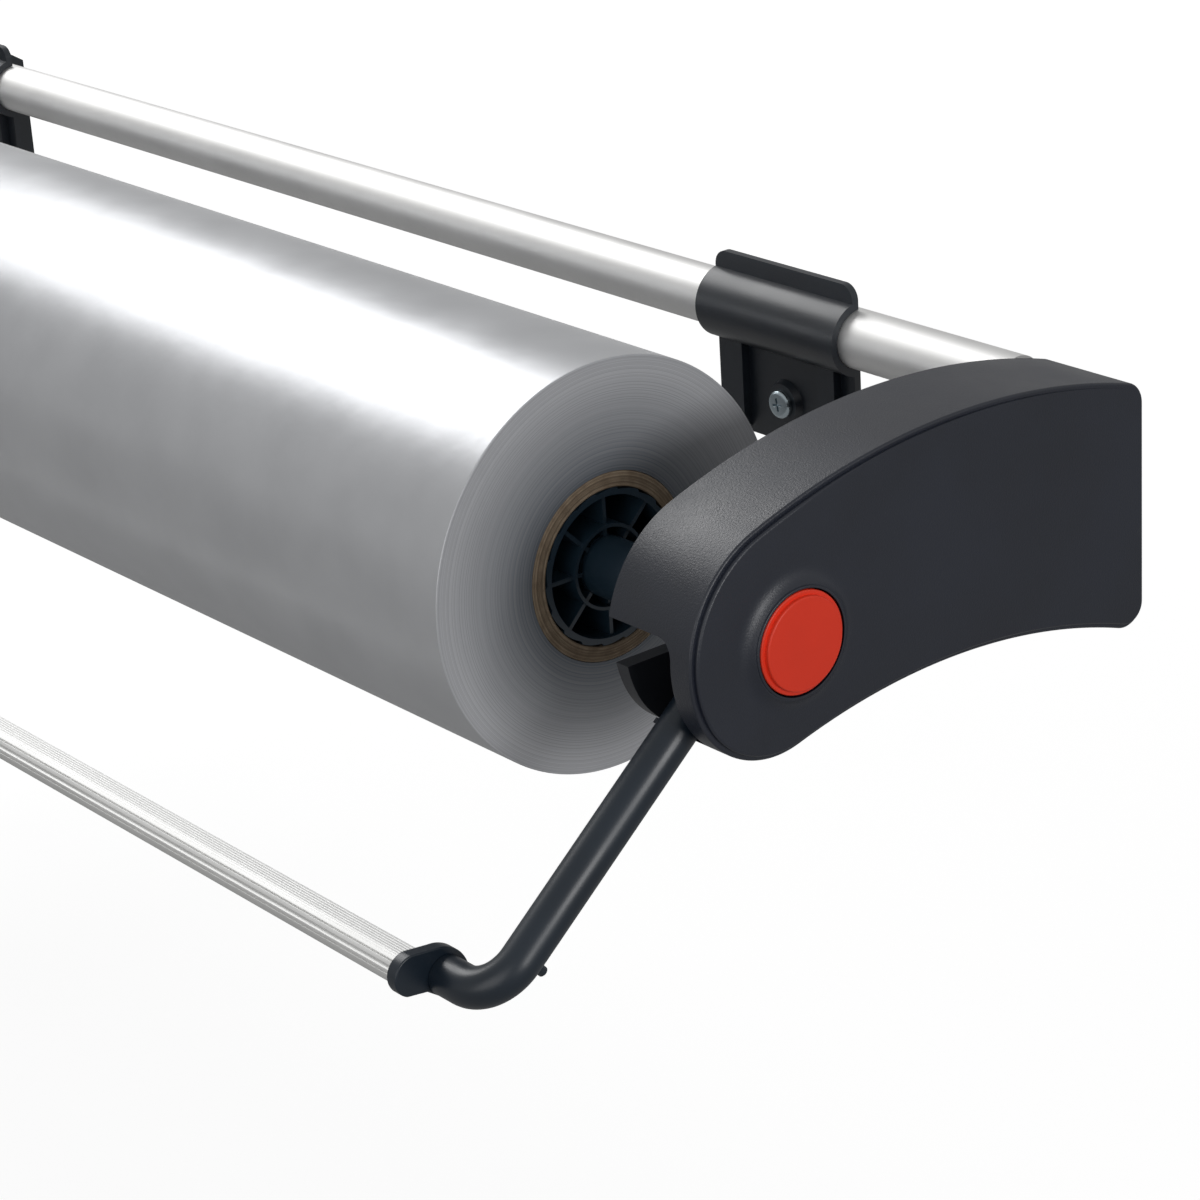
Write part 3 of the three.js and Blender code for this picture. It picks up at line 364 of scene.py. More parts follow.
WALL_BEHIND_TUBE = WALL_Y - TUBE_CENTRE_Y
REAR_Y = WALL_Y - AXIS_Y - COVER_TO_WALL

# Direction of the arm in y-z, and square to it on its lower side
ARM_TURN = math.radians(ARM_DEGREES)
ARM_DIRECTION = (math.cos(ARM_TURN), math.sin(ARM_TURN))
ARM_BELOW = (-ARM_DIRECTION[1], ARM_DIRECTION[0])
BAR_Y = ARM_DIRECTION[0] * ARM_REACH
BAR_Z = ARM_DIRECTION[1] * ARM_REACH

# How an outline's plane and its draw direction lie in u, y, z
ALONG_X = Matrix(((0, 0, 1), (1, 0, 0), (0, 1, 0)))
ALONG_Y = Matrix(((1, 0, 0), (0, 0, 1), (0, 1, 0)))
ALONG_Z = Matrix(((1, 0, 0), (0, 1, 0), (0, 0, 1)))
IN_METRES = Matrix.Diagonal((MM, MM, MM, 1))


# Outlines

def arc(centre, radius, start, end, steps):
    """Points on an arc from one turn to another, in degrees."""
    points = []
    for i in range(steps + 1):
        turn = math.radians(start + (end - start) * i / steps)
        points.append((centre[0] + radius * math.cos(turn), centre[1] + radius * math.sin(turn)))
    return points


def circle(radius, steps, centre=(0, 0)):
    return arc(centre, radius, 0, 360, steps)[:-1]


def rectangle(left, right, low, high):
    return [(left, low), (right, low), (right, high), (left, high)]


def rounded_rectangle(left, right, low, high, corner, steps=10):
    return [
        *arc((right - corner, high - corner), corner, 0, 90, steps),
        *arc((left + corner, high - corner), corner, 90, 180, steps),
        *arc((left + corner, low + corner), corner, 180, 270, steps),
        *arc((right - corner, low + corner), corner, 270, 360, steps),
    ]


# Solids, each a Blender object in millimetres

MERGE_DISTANCE = 0.0005


def having(thing, **settings):
    """The thing with its settings."""
    for key, value in settings.items():
        setattr(thing, key, value)
    return thing


def shown(name, data):
    """A new object in the scene."""
    made = bpy.data.objects.new(name, data)
    bpy.context.scene.collection.objects.link(made)
    return made


def solid(vertices, faces):
    """A closed body: shared corners merged and faces turned outwards."""
    mesh = bpy.data.meshes.new("solid")
    mesh.from_pydata(vertices, [], faces)
    body = bmesh.new()
    body.from_mesh(mesh)
    bmesh.ops.remove_doubles(body, verts=body.verts, dist=MERGE_DISTANCE)
    bmesh.ops.dissolve_degenerate(body, edges=body.edges, dist=MERGE_DISTANCE)
    bmesh.ops.recalc_face_normals(body, faces=body.faces)
    body.to_mesh(mesh)
    body.free()
    return shown("solid", mesh)


def skinned(levels):
    """A body skinned over outlines of equal count, each a (list of (y, z), u)."""
    count = len(levels[0][0])
    vertices = [(u, y, z) for points, u in levels for y, z in points]
    faces = [tuple(range(count))]
    for level in range(len(levels) - 1):
        for i in range(count):
            low = level * count
            high = low + count
            after = (i + 1) % count
            faces.append((low + i, low + after, high + after, high + i))
    faces.append(tuple(range((len(levels) - 1) * count, len(levels) * count)))
    return solid(vertices, faces)


def prism(points, start, end, plane=ALONG_X):
    """An outline drawn out between two planes."""
    count = len(points)
    vertices = [plane @ Vector((a, b, c)) for c in (start, end) for a, b in points]
    faces = [tuple(range(count)), tuple(range(count, 2 * count))]
    faces += [(i, (i + 1) % count, (i + 1) % count + count, i + count) for i in range(count)]
    return solid(vertices, faces)


def turned(profile, steps=ROUND_STEPS, axis=ALONG_X, closed=False):
    """A profile of (radius, place) turned about an axis; closed for a ring that doesn't reach the axis."""
    count = len(profile)
    vertices = []
    for i in range(steps):
        turn = 2 * math.pi * i / steps
        vertices += [axis @ Vector((r * math.cos(turn), r * math.sin(turn), place)) for r, place in profile]
    spans = count if closed else count - 1
    faces = []
    for i in range(steps):
        here = i * count
        there = (i + 1) % steps * count
        for j in range(spans):
            after = (j + 1) % count
            faces.append((here + j, here + after, there + after, there + j))
    return solid(vertices, faces)


def ring(inner, outer, start, end, steps=ROUND_STEPS):
    return turned(rectangle(inner, outer, start, end), steps, closed=True)


def rod(radius, start, end, steps=ROUND_STEPS, axis=ALONG_X):
    return turned([(0, start), (radius, start), (radius, end), (0, end)], steps, axis)


def moved(body, offset=(0, 0, 0), rotation=None):
    if rotation is not None:
        body.data.transform(rotation)
    body.data.transform(Matrix.Translation(offset))
    return body


def plain_mesh(body):
    """The evaluated shape as a plain mesh, with no modifiers left on the object."""
    bpy.context.view_layer.update()
    shaped = body.evaluated_get(bpy.context.evaluated_depsgraph_get())
    mesh = bpy.data.meshes.new_from_object(shaped)
    body.modifiers.clear()
    body.data = mesh
    return body


def combined(body, tools, operation):
    """The body after a boolean with each tool; the tools are used up."""
    for tool in tools:
        having(body.modifiers.new(operation, "BOOLEAN"), operation=operation, solver="EXACT", object=tool)
    plain_mesh(body)
    for tool in tools:
        bpy.data.objects.remove(tool)
    return body


def joined(body, *tools):
    return combined(body, tools, "UNION")


def cut(body, *tools):
    return combined(body, tools, "DIFFERENCE")


def common(body, *tools):
    return combined(body, tools, "INTERSECT")


# Node trees

def feed(tree, node, feeds):
    """Gives each input of a node a plain value, or links it to the output that it reads."""
    for label, source in feeds.items():
        if isinstance(source, bpy.types.NodeSocket):
            tree.links.new(source, node.inputs[label])
        else:
            node.inputs[label].default_value = source


def fed(tree, kind, feeds=None, **settings):
    """The outputs of a new node with its settings and its inputs."""
    made = having(tree.nodes.new(kind), **settings)
    feed(tree, made, feeds or {})
    return made.outputs


def between(tree, factor, first, second):
    """A mix of two colours by a mask."""
    mix = fed(tree, "ShaderNodeMix", {"Factor": factor, "A": first, "B": second}, data_type="RGBA")
    return mix["Result"]


def ranged(tree, source, from_low, from_high, low, high):
    return fed(tree, "ShaderNodeMapRange", {
        "Value": source, "From Min": from_low, "From Max": from_high, "To Min": low, "To Max": high,
    })["Result"]


class Group:
    """A node group with named inputs and outputs."""

    def __init__(self, name, tree_type, inputs, outputs):
        self.tree = bpy.data.node_groups.new(name, tree_type)
        self.keys = {}
        new_socket = self.tree.interface.new_socket
        for label, kind in inputs.items():
            self.keys[label] = new_socket(label, in_out="INPUT", socket_type=f"NodeSocket{kind}").identifier
        for label, kind in outputs.items():
            new_socket(label, in_out="OUTPUT", socket_type=f"NodeSocket{kind}")
        self.given = self.tree.nodes.new("NodeGroupInput").outputs
        self.end = self.tree.nodes.new("NodeGroupOutput")

    def node(self, kind, feeds=None, **settings):
        return fed(self.tree, kind, feeds, **settings)

    def math(self, operation, *values):
        """The result of a sum on numbers."""
        return self.node("ShaderNodeMath", dict(enumerate(values)), operation=operation)["Value"]

    def vector_math(self, operation, *values):
        """The outputs of a sum on vectors."""
        return self.node("ShaderNodeVectorMath", dict(enumerate(values)), operation=operation)

    def gives(self, outputs):
        feed(self.tree, self.end, outputs)
        return self


# Geometry Nodes for what repeats

class Repeater(Group):
    """A geometry group that works on one element and gives its material to what comes out."""

    def __init__(self, name, inputs):
        element = {"Element": "Geometry"}
        super().__init__(name, "GeometryNodeTree", element | inputs | {"Material": "Material"},
                         {"Geometry": "Geometry"})

    def gives_real(self, geometry):
        real = self.node("GeometryNodeRealizeInstances", {"Geometry": geometry})
        painted = self.node("GeometryNodeSetMaterial", {
            "Geometry": real["Geometry"], "Material": self.given["Material"],
        })
        return self.gives({"Geometry": painted["Geometry"]})

    def run(self, body, **values):
        step = body.modifiers.new(self.tree.name, "NODES")
        step.node_group = self.tree
        for label, value in values.items():
            step[self.keys[label.replace("_", " ")]] = value
        return plain_mesh(body)


def repeat_around_axle():
    """Copies of one element, turned about x in equal steps."""
    group = Repeater("around_the_axle", {"Count": "Int"})
    count = group.given["Count"]
    spots = group.node("GeometryNodeMeshLine", {"Count": count, "Offset": (0, 0, 0)})
    share = group.math("DIVIDE", group.node("GeometryNodeInputIndex")["Index"], count)
    angles = group.node("ShaderNodeCombineXYZ", {"X": group.math("MULTIPLY", share, 2 * math.pi)})
    copies = group.node("GeometryNodeInstanceOnPoints", {
        "Points": spots["Mesh"], "Instance": group.given["Element"], "Rotation": angles["Vector"],
    })
    return group.gives_real(copies["Instances"])


def repeat_along_bar():
    """Copies of one element along x, at a pitch."""
    group = Repeater("along_the_bar", {"Count": "Int", "Pitch": "Float"})
    offset = group.node("ShaderNodeCombineXYZ", {"X": group.given["Pitch"]})
    spots = group.node("GeometryNodeMeshLine", {"Count": group.given["Count"], "Offset": offset["Vector"]})
    copies = group.node("GeometryNodeInstanceOnPoints", {
        "Points": spots["Mesh"], "Instance": group.given["Element"],
    })
    return group.gives_real(copies["Instances"])


def coil_of_wire():
    """A helix of round wire along x."""
    sizes = ("Turns", "Coil Radius", "Wire Radius", "Length", "Start")
    group = Repeater("coil_of_wire", {label: "Float" for label in sizes})
    turns, coil_radius, wire_radius, length, start = (group.given[label] for label in sizes)
    helix = group.node("GeometryNodeCurveSpiral", {
        "Resolution": COIL_STEPS, "Rotations": turns, "Start Radius": coil_radius, "End Radius": coil_radius,
        "Height": length,
    })
    wire = group.node("GeometryNodeCurvePrimitiveCircle", {"Resolution": WIRE_STEPS, "Radius": wire_radius})
    swept = group.node("GeometryNodeCurveToMesh", {
        "Curve": helix["Curve"], "Profile Curve": wire["Curve"], "Fill Caps": True,
    })
    place = group.node("ShaderNodeCombineXYZ", {"X": start})
    laid = group.node("GeometryNodeTransform", {
        "Geometry": swept["Mesh"], "Rotation": (0, math.pi / 2, 0), "Translation": place["Vector"],
    })
    return group.gives_real(laid["Geometry"])


AROUND_AXLE = repeat_around_axle()
ALONG_BAR = repeat_along_bar()
COIL = coil_of_wire()


# Shader groups

NOISE_SPAN = (0.35, 0.65)
END_FACING = 0.7


def relief_effect(name, stretch, detail, roughness):
    """Fine relief: even for a grain, and stretched along x for the lines that drawing leaves on metal."""
    group = Group(name, "ShaderNodeTree", {"Scale": "Float", "Depth": "Float"}, {"Normal": "Vector"})
    place = group.node("ShaderNodeTexCoord")["Object"]
    noise = group.node("ShaderNodeTexNoise", {
        "Vector": group.node("ShaderNodeMapping", {"Vector": place, "Scale": stretch})["Vector"],
        "Scale": group.given["Scale"], "Detail": detail, "Roughness": roughness,
    })
    bump = group.node("ShaderNodeBump", {"Height": noise["Fac"], "Distance": group.given["Depth"]})
    return group.gives({"Normal": bump["Normal"]}).tree


def mottle_effect():
    """Slow change between two colours and two roughnesses, as handling and moulding leave it."""
    group = Group("mottle", "ShaderNodeTree", {
        "Scale": "Float", "Colour A": "Color", "Colour B": "Color", "Roughness A": "Float",
        "Roughness B": "Float",
    }, {"Colour": "Color", "Roughness": "Float", "Height": "Float"})
    given = group.given
    clouds = group.node("ShaderNodeTexNoise", {
        "Vector": group.node("ShaderNodeTexCoord")["Object"], "Scale": given["Scale"], "Detail": 4,
    })["Fac"]
    share = ranged(group.tree, clouds, *NOISE_SPAN, 0, 1)
    return group.gives({
        "Colour": between(group.tree, share, given["Colour A"], given["Colour B"]),
        "Roughness": ranged(group.tree, share, 0, 1, given["Roughness A"], given["Roughness B"]),
        "Height": clouds,
    }).tree


def wound_effect():
    """Rings about the roll axis: the edges of the wound turns, with a mask that is 1 on the end faces."""
    masks = ("Ring Mask", "Band Mask", "End Mask")
    group = Group("wound_turns", "ShaderNodeTree", {"Rings": "Float", "Bands": "Float", "Depth": "Float"},
                  {"Normal": "Vector", "Radius": "Float"} | {label: "Float" for label in masks})
    place = group.node("ShaderNodeTexCoord")["Object"]
    centred = group.vector_math("SUBTRACT", place, (0, AXIS_Y * MM, AXIS_Z * MM))["Vector"]
    flat = group.vector_math("MULTIPLY", centred, (0, 1, 1))["Vector"]
    radius = group.vector_math("LENGTH", flat)["Value"]
    fine, broad = (
        group.node("ShaderNodeTexNoise", {"W": radius, "Scale": group.given[label], "Detail": detail},
                   noise_dimensions="1D")["Fac"]
        for label, detail in (("Rings", 2), ("Bands", 3))
    )
    facing = group.node("ShaderNodeNewGeometry")["True Normal"]
    sideways = group.node("ShaderNodeSeparateXYZ", {"Vector": facing})["X"]
    on_end = group.math("GREATER_THAN", group.math("ABSOLUTE", sideways), END_FACING)
    bump = group.node("ShaderNodeBump", {
        "Height": group.math("MULTIPLY", fine, on_end), "Distance": group.given["Depth"],
    })
    return group.gives({
        "Normal": bump["Normal"], "Radius": radius, "Ring Mask": fine, "Band Mask": broad,
        "End Mask": on_end,
    }).tree


GRAIN = relief_effect("moulded_grain", stretch=(1, 1, 1), detail=3, roughness=0.6)
DRAWN = relief_effect("drawn_lines", stretch=(0.01, 1, 1), detail=2, roughness=0.5)
MOTTLE = mottle_effect()
WOUND = wound_effect()


# Materials

MOTTLE_SCALE = 18
FILM_MOTTLE_SCALE = 22
FIBRE_SCALE = 160
PLASTIC_SPREAD = 0.04
METAL_SPREAD = 0.03
METAL_MOTTLING = 0.06
# Painted shade on the roll's ends: a grey from dark at the core radius to light at the rim
FILM_END_SHADE_RADII = (0.045, 0.092)
FILM_END_PAINTED_SHADE_GREYS = ((0.15, 0.17, 0.2, 1), (0.66, 0.67, 0.7, 1))
FILM_LINE = (0.1, 0.105, 0.115, 1)
FILM_BAND = (0.62, 0.62, 0.63, 1)
FILM_LINE_SHARE = 0.3
FILM_BAND_SHARE = 0.16
FILM_SLACK = 0.0006
FILM_METALLIC = (0.5, 0.35)
FILM_END_ROUGHNESS = 0.5
BOARD_SEAM = (0.13, 0.092, 0.058, 1)
BOARD_SEAM_SPAN = (0.42, 0.62)
BOARD_SEAM_SHARE = 0.65


def shader(name):
    """A new material with its nodes, and its Principled shader."""
    material = bpy.data.materials.new(name)
    material.use_nodes = True
    return material, material.node_tree, material.node_tree.nodes["Principled BSDF"]


def mottled(tree, scale, colours, roughnesses):
    return fed(tree, "ShaderNodeGroup", {
        "Scale": scale, "Colour A": (*colours[0], 1), "Colour B": (*colours[1], 1),
        "Roughness A": roughnesses[0], "Roughness B": roughnesses[1],
    }, node_tree=MOTTLE)


def wound(tree, rings, bands, depth):
    return fed(tree, "ShaderNodeGroup", {"Rings": rings, "Bands": bands, "Depth": depth}, node_tree=WOUND)


def even_look(name, colours, roughnesses, relief, scale, depth, uniform):
    """A look with slow changes of shade and gloss under a fine relief."""
    material, tree, principled = shader(name)
    mottle = mottled(tree, MOTTLE_SCALE, colours, roughnesses)
    surface = fed(tree, "ShaderNodeGroup", {"Scale": scale, "Depth": depth}, node_tree=relief)
    feed(tree, principled, {
        "Base Color": mottle["Colour"], "Roughness": mottle["Roughness"], "Normal": surface["Normal"],
    } | uniform)
    return material


def plastic(name, colour, roughness, grain, depth, specular=0.5, mottling=0.12):
    """Moulded plastic with its fine grain."""
    colours = [[channel * share for channel in colour] for share in (1 - mottling, 1 + mottling)]
    roughnesses = (roughness - PLASTIC_SPREAD, roughness + PLASTIC_SPREAD)
    return even_look(name, colours, roughnesses, GRAIN, grain, depth, {"Specular IOR Level": specular})


def metal(name, colour, roughness, relief, scale, depth):
    """Bare or plated metal, drawn or grained."""
    colours = [[channel * share for channel in colour] for share in (1 - METAL_MOTTLING, 1)]
    roughnesses = (roughness - METAL_SPREAD, roughness + METAL_SPREAD)
    return even_look(name, colours, roughnesses, relief, scale, depth, {"Metallic": 1.0})


def film_material():
    """Silver film: satin on the round of the roll, and the grey edges of its turns on the ends, painted
    darker towards the core as shade.
    """
    material, tree, principled = shader("film")
    turns = wound(tree, rings=2000, bands=760, depth=0.00003)
    on_end = turns["End Mask"]
    mottle = mottled(tree, FILM_MOTTLE_SCALE, ((0.595, 0.605, 0.625), (0.64, 0.65, 0.67)), (0.33, 0.37))
    # Painted shade: the ends' grey darkens from the rim in towards the core
    outwards = ranged(tree, turns["Radius"], *FILM_END_SHADE_RADII, 0, 1)
    end_grey_with_painted_shade = between(tree, outwards, *FILM_END_PAINTED_SHADE_GREYS)
    line_share = ranged(tree, turns["Ring Mask"], *NOISE_SPAN, 0, FILM_LINE_SHARE)
    band_share = ranged(tree, turns["Band Mask"], *NOISE_SPAN, 0, FILM_BAND_SHARE)
    end_colour = between(tree, band_share, between(tree, line_share, end_grey_with_painted_shade, FILM_LINE), FILM_BAND)
    rough = fed(tree, "ShaderNodeMix", {0: on_end, 2: mottle["Roughness"], 3: FILM_END_ROUGHNESS},
                data_type="FLOAT")
    slack = fed(tree, "ShaderNodeBump", {
        "Distance": FILM_SLACK, "Height": mottle["Height"], "Normal": turns["Normal"],
    })
    feed(tree, principled, {
        "Base Color": between(tree, on_end, mottle["Colour"], end_colour), "Roughness": rough[0],
        "Normal": slack["Normal"], "Metallic": ranged(tree, on_end, 0, 1, *FILM_METALLIC),
    })
    return material


def cardboard_material():
    """Wound board: plies that show as rings on the end, with paper fibre over all."""
    material, tree, principled = shader("board")
    turns = wound(tree, rings=900, bands=420, depth=0.00012)
    mottle = mottled(tree, FIBRE_SCALE, ((0.25, 0.185, 0.125), (0.37, 0.285, 0.2)), (0.8, 0.95))
    seam = ranged(tree, turns["Ring Mask"], *BOARD_SEAM_SPAN, 0, BOARD_SEAM_SHARE)
    feed(tree, principled, {
        "Base Color": between(tree, seam, mottle["Colour"], BOARD_SEAM), "Roughness": mottle["Roughness"],
        "Normal": turns["Normal"],
    })
    return material


LOOKS = {
    "cover_plastic": plastic("cover", (0.0035, 0.007, 0.018), 0.4, 1100, 0.00015, specular=0.8),
    "bracket_plastic": plastic("bracket", (0.008, 0.013, 0.021), 0.36, 1100, 0.00005, specular=0.8),
    "inner_plastic": plastic("inner", (0.013, 0.015, 0.02), 0.45, 1100, 0.00004),
    "plug_plastic": plastic("plug", (0.015, 0.033, 0.052), 0.38, 900, 0.00002, specular=0.75),
    "arm_plastic": plastic("arm", (0.006, 0.014, 0.025), 0.36, 1000, 0.00002, specular=0.65),
    "red_plastic": plastic("button", (0.9, 0.045, 0.015), 0.4, 1000, 0.00004, mottling=0.04),
    "nylon": plastic("latch_nylon", (0.6, 0.58, 0.53), 0.45, 900, 0.00002, mottling=0.06),
    "anodised_aluminium": metal("aluminium", (0.88, 0.877, 0.868), 0.54, DRAWN, 350, 0.000002),
    "matt_aluminium": metal("matt_aluminium", (0.86, 0.86, 0.85), 0.6, DRAWN, 350, 0.000002),
    "zinc_steel": metal("zinc", (0.52, 0.6, 0.64), 0.26, GRAIN, 700, 0.00002),
    "spring_steel": metal("spring", (0.35, 0.36, 0.38), 0.32, GRAIN, 900, 0.00002),
    "blade_steel": metal("blade", (0.6, 0.61, 0.63), 0.24, DRAWN, 1500, 0.00001),
    "cardboard": cardboard_material(),
    "silver_film": film_material(),
}


# Placing and finishing

NORMAL_WEIGHT = 80


def at_end(side):
    """From the end frame in millimetres to the CAD's frame in metres."""
    mirror = Matrix.Diagonal((SIDES[side], 1, 1, 1))
    return IN_METRES @ mirror @ Matrix.Translation((HALF_ROLL, AXIS_Y, AXIS_Z))


def at_bracket(side):
    return IN_METRES @ Matrix.Translation((SIDES[side] * BRACKET_X, TUBE_CENTRE_Y, TUBE_CENTRE_Z))


def at_middle():
    return IN_METRES @ Matrix.Translation((0, AXIS_Y, AXIS_Z))


def finished(name, body, place, finish, rides_on, bevel=0.0, smooth_degrees=34, span=None, look=None):
    """A piece in its place: painted, its edges broken, and standing for its CAD node.

    A piece with a span stays in the CAD's frame, joined to no body; the span's two ends and rides_on are not
    used.
    """
    mesh = body.data.copy()
    mesh.name = name
    mesh.transform(place)
    if place.determinant() < 0:
        mesh.flip_normals()
    mesh.materials.clear()
    mesh.materials.append(LOOKS[look or finish])
    for polygon in mesh.polygons:
        polygon.use_smooth = True
        polygon.material_index = 0
    crease = math.radians(smooth_degrees)
    mesh.set_sharp_from_angle(angle=crease)
    piece = shown(f"{name}_piece", mesh)
    if bevel:
        having(piece.modifiers.new("broken_edges", "BEVEL"), width=bevel * MM, segments=BEVEL_STEPS,
               limit_method="ANGLE", angle_limit=crease, use_clamp_overlap=True)
        plain_mesh(piece)
        piece.data.set_sharp_from_angle(angle=crease)
    having(piece.modifiers.new("weighted_normals", "WEIGHTED_NORMAL"), keep_sharp=True, weight=NORMAL_WEIGHT)
    if span:
        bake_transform(piece)
    else:
        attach(piece, rides_on)
    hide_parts(name)


def both_ends(name, body, finish, rides_on, place=at_end, **settings):
    """The right-hand and the left-hand piece of one drawing."""
    for side in SIDES:
        finished(f"{name}_{side}", body, place(side), finish, rides_on.format(side=side), **settings)
    bpy.data.objects.remove(body)


# Side cover

def cover_outline(inset):
    """The cover seen from its end: rear corners, top, nose, chin and underside, set in by a distance."""
    def turn(start, end):
        return math.degrees(math.atan2(end[1] - start[1], end[0] - start[0]))

    top = (TOP_CENTRE_Y, -math.sqrt((TOP_RADIUS - NOSE_RADIUS) ** 2 - TOP_CENTRE_Y ** 2))
    nose = (0, 0)
    chin = (-CHIN_BACK, -CHIN_DROP)
    chin_radius = NOSE_RADIUS - math.hypot(*chin)
    under_reach = UNDER_RADIUS + chin_radius
    under = (UNDER_CENTRE_Y, chin[1] - math.sqrt(under_reach ** 2 - (UNDER_CENTRE_Y - chin[0]) ** 2))
    corner_y = REAR_Y - COVER_CORNER
    top_corner = (corner_y, top[1] + math.sqrt((TOP_RADIUS - COVER_CORNER) ** 2 - (corner_y - top[0]) ** 2))
    corner_reach = UNDER_RADIUS + COVER_CORNER
    under_corner = (corner_y, under[1] + math.sqrt(corner_reach ** 2 - (corner_y - under[0]) ** 2))
    top_turn = turn(top, nose)
    chin_turn = turn(nose, chin) + 360
    under_turn = turn(chin, under) + 360
    top_corner_turn = turn(top, top_corner)
    under_corner_turn = turn(under, under_corner)
    return [
        *arc(under_corner, COVER_CORNER - inset, under_corner_turn + 180, 360, UNDER_CORNER_STEPS),
        *arc(top_corner, COVER_CORNER - inset, 0, top_corner_turn, TOP_CORNER_STEPS),
        *arc(top, TOP_RADIUS - inset, top_corner_turn, top_turn, TOP_STEPS)[1:],
        *arc(nose, NOSE_RADIUS - inset, top_turn, chin_turn, NOSE_STEPS)[1:],
        *arc(chin, chin_radius - inset, chin_turn, under_turn, CHIN_STEPS)[1:],
        *arc(under, UNDER_RADIUS + inset, under_turn - 180, under_corner_turn, UNDER_STEPS)[1:-1],
    ]


def rounded_levels(inset, start, end, radius, steps=6):
    """Levels of a skin that runs straight and then rounds in to its end face."""
    levels = [(cover_outline(inset), start)]
    for i in range(steps + 1):
        turn = math.pi / 2 * i / steps
        levels.append((
            cover_outline(inset + radius * (1 - math.cos(turn))),
            end - radius * (1 - math.sin(turn)),
        ))
    return levels


def cover_heights(y):
    """Height of the cover's top and underside above the roll axis at y."""
    outline = cover_outline(0)
    heights = []
    for i, (y0, z0) in enumerate(outline):
        y1, z1 = outline[(i + 1) % len(outline)]
        if (y0 - y) * (y1 - y) < 0:
            heights.append(z0 + (z1 - z0) * (y - y0) / (y1 - y0))
    return max(heights), min(heights)


def cover_screw_places():
    places = []
    for shares, edge, inset in ((TOP_SCREW_SHARES, 0, -SCREW_INSET), (UNDER_SCREW_SHARES, 1, SCREW_INSET)):
        places += [(share * REAR_Y, cover_heights(share * REAR_Y)[edge] + inset) for share in shares]
    return places


def plateau():
    """The raised part of the face, trimmed by a wide cone so that it falls away behind the crease."""
    base = COVER_END - COVER_EDGE
    raised = skinned(rounded_levels(PLATEAU_INSET, base, PLATEAU_U, PLATEAU_ROUND))
    reach = CREASE_RADIUS + REAR_Y
    fall = (reach - CREASE_RADIUS) * math.tan(math.radians(FACET_DEGREES))
    cone = turned([
        (0, base - OVERRUN), (reach, base - OVERRUN - fall), (reach, PLATEAU_U - fall),
        (CREASE_RADIUS, PLATEAU_U), (0, PLATEAU_U),
    ], 4 * ROUND_STEPS)
    return common(raised, moved(cone, (0, CREASE_Y, CREASE_Z)))


def collar_flank(steps=12):
    """Hollow flank of the collar, from the plateau up to its rounded lip."""
    points = []
    rise = COLLAR_HEIGHT - COLLAR_LIP
    run = COLLAR_RADIUS - COLLAR_TOP - COLLAR_LIP
    for i in range(steps + 1):
        share = i / steps
        points.append((COLLAR_RADIUS - run * share, PLATEAU_U + rise * share ** 3))
    lip = arc((COLLAR_TOP - COLLAR_LIP, COLLAR_U - COLLAR_LIP), COLLAR_LIP, 0, 90, LIP_STEPS)
    return points + lip


def arm_notch():
    """The notch is open to the front and runs from above the raised arm to below the lowered one."""
    rise = ARM_DIRECTION[1] / ARM_DIRECTION[0]
    drop = NOTCH_BELOW_ARM / ARM_DIRECTION[0]

    def below_at(y):
        return rise * y + drop

    front = -NOSE_RADIUS - OVERRUN
    back = (NOTCH_TOP - below_at(0)) / rise
    wedge = prism([(back, NOTCH_TOP), (front, NOTCH_TOP), (front, below_at(front))],
                  COVER_START - OVERRUN, COVER_END)
    right = COVER_END - NOTCH_FACE_WALL
    low = below_at(front) - OVERRUN
    window = prism([
        (COVER_START - OVERRUN, low), (right, low),
        *arc((right - NOTCH_CORNER, NOTCH_TOP - NOTCH_CORNER), NOTCH_CORNER, 0, 90, NOTCH_STEPS),
        (COVER_START - OVERRUN, NOTCH_TOP),
    ], front - OVERRUN, max(back, 0) + OVERRUN, ALONG_Y)
    return common(wedge, window)


def screw_post(place):
    post = prism(circle(SCREW_BOSS, SMALL_STEPS, place), PLATE_END + GAP, CEILING_U + GAP)
    hole = prism(circle(COVER_SCREW + GAP, SMALL_STEPS, place), PLATE_END - OVERRUN,
                 PLATE_END + COVER_SCREW_BITE + GAP)
    return cut(post, hole)


def pivot_boss():
    return turned([
        (0, BOSS_START), (BOSS_RADIUS, BOSS_START), (BOSS_RADIUS, RETAINER_START - GAP),
        (BOSS_RADIUS - GROOVE_DEPTH, RETAINER_START - GAP),
        (BOSS_RADIUS - GROOVE_DEPTH, RETAINER_END + GAP / 2), (BOSS_RADIUS, RETAINER_END + GAP / 2),
        (BOSS_RADIUS, SHOULDER_START), (BOSS_RADIUS + BOSS_SHOULDER, SHOULDER_START),
        (BOSS_RADIUS + BOSS_SHOULDER, CEILING_U + GAP), (0, CEILING_U + GAP),
    ])


def side_cover():
    shell = skinned(rounded_levels(0, COVER_START, COVER_END, COVER_EDGE))
    skirt = cut(shell, prism(cover_outline(COVER_WALL), COVER_START - OVERRUN, CEILING_U), arm_notch())
    collar = turned([(0, CEILING_U), (COLLAR_RADIUS, CEILING_U), *collar_flank(), (0, COLLAR_U)])
    posts = [screw_post(place) for place in cover_screw_places()]
    whole = joined(skirt, plateau(), pivot_boss(), collar, *posts)
    return cut(
        whole,
        rod(BOSS_BORE, BOSS_START - OVERRUN, WEB_START),
        rod(SHANK_RADIUS + GAP, WEB_START - OVERRUN, WEB_END + OVERRUN),
        rod(BOSS_BORE, WEB_END, POCKET_FLOOR + GAP),
        rod(BUTTON_RADIUS + BUTTON_POCKET_GAP, POCKET_FLOOR, COLLAR_U + OVERRUN),
    )


# Inner plate, its liner and latch

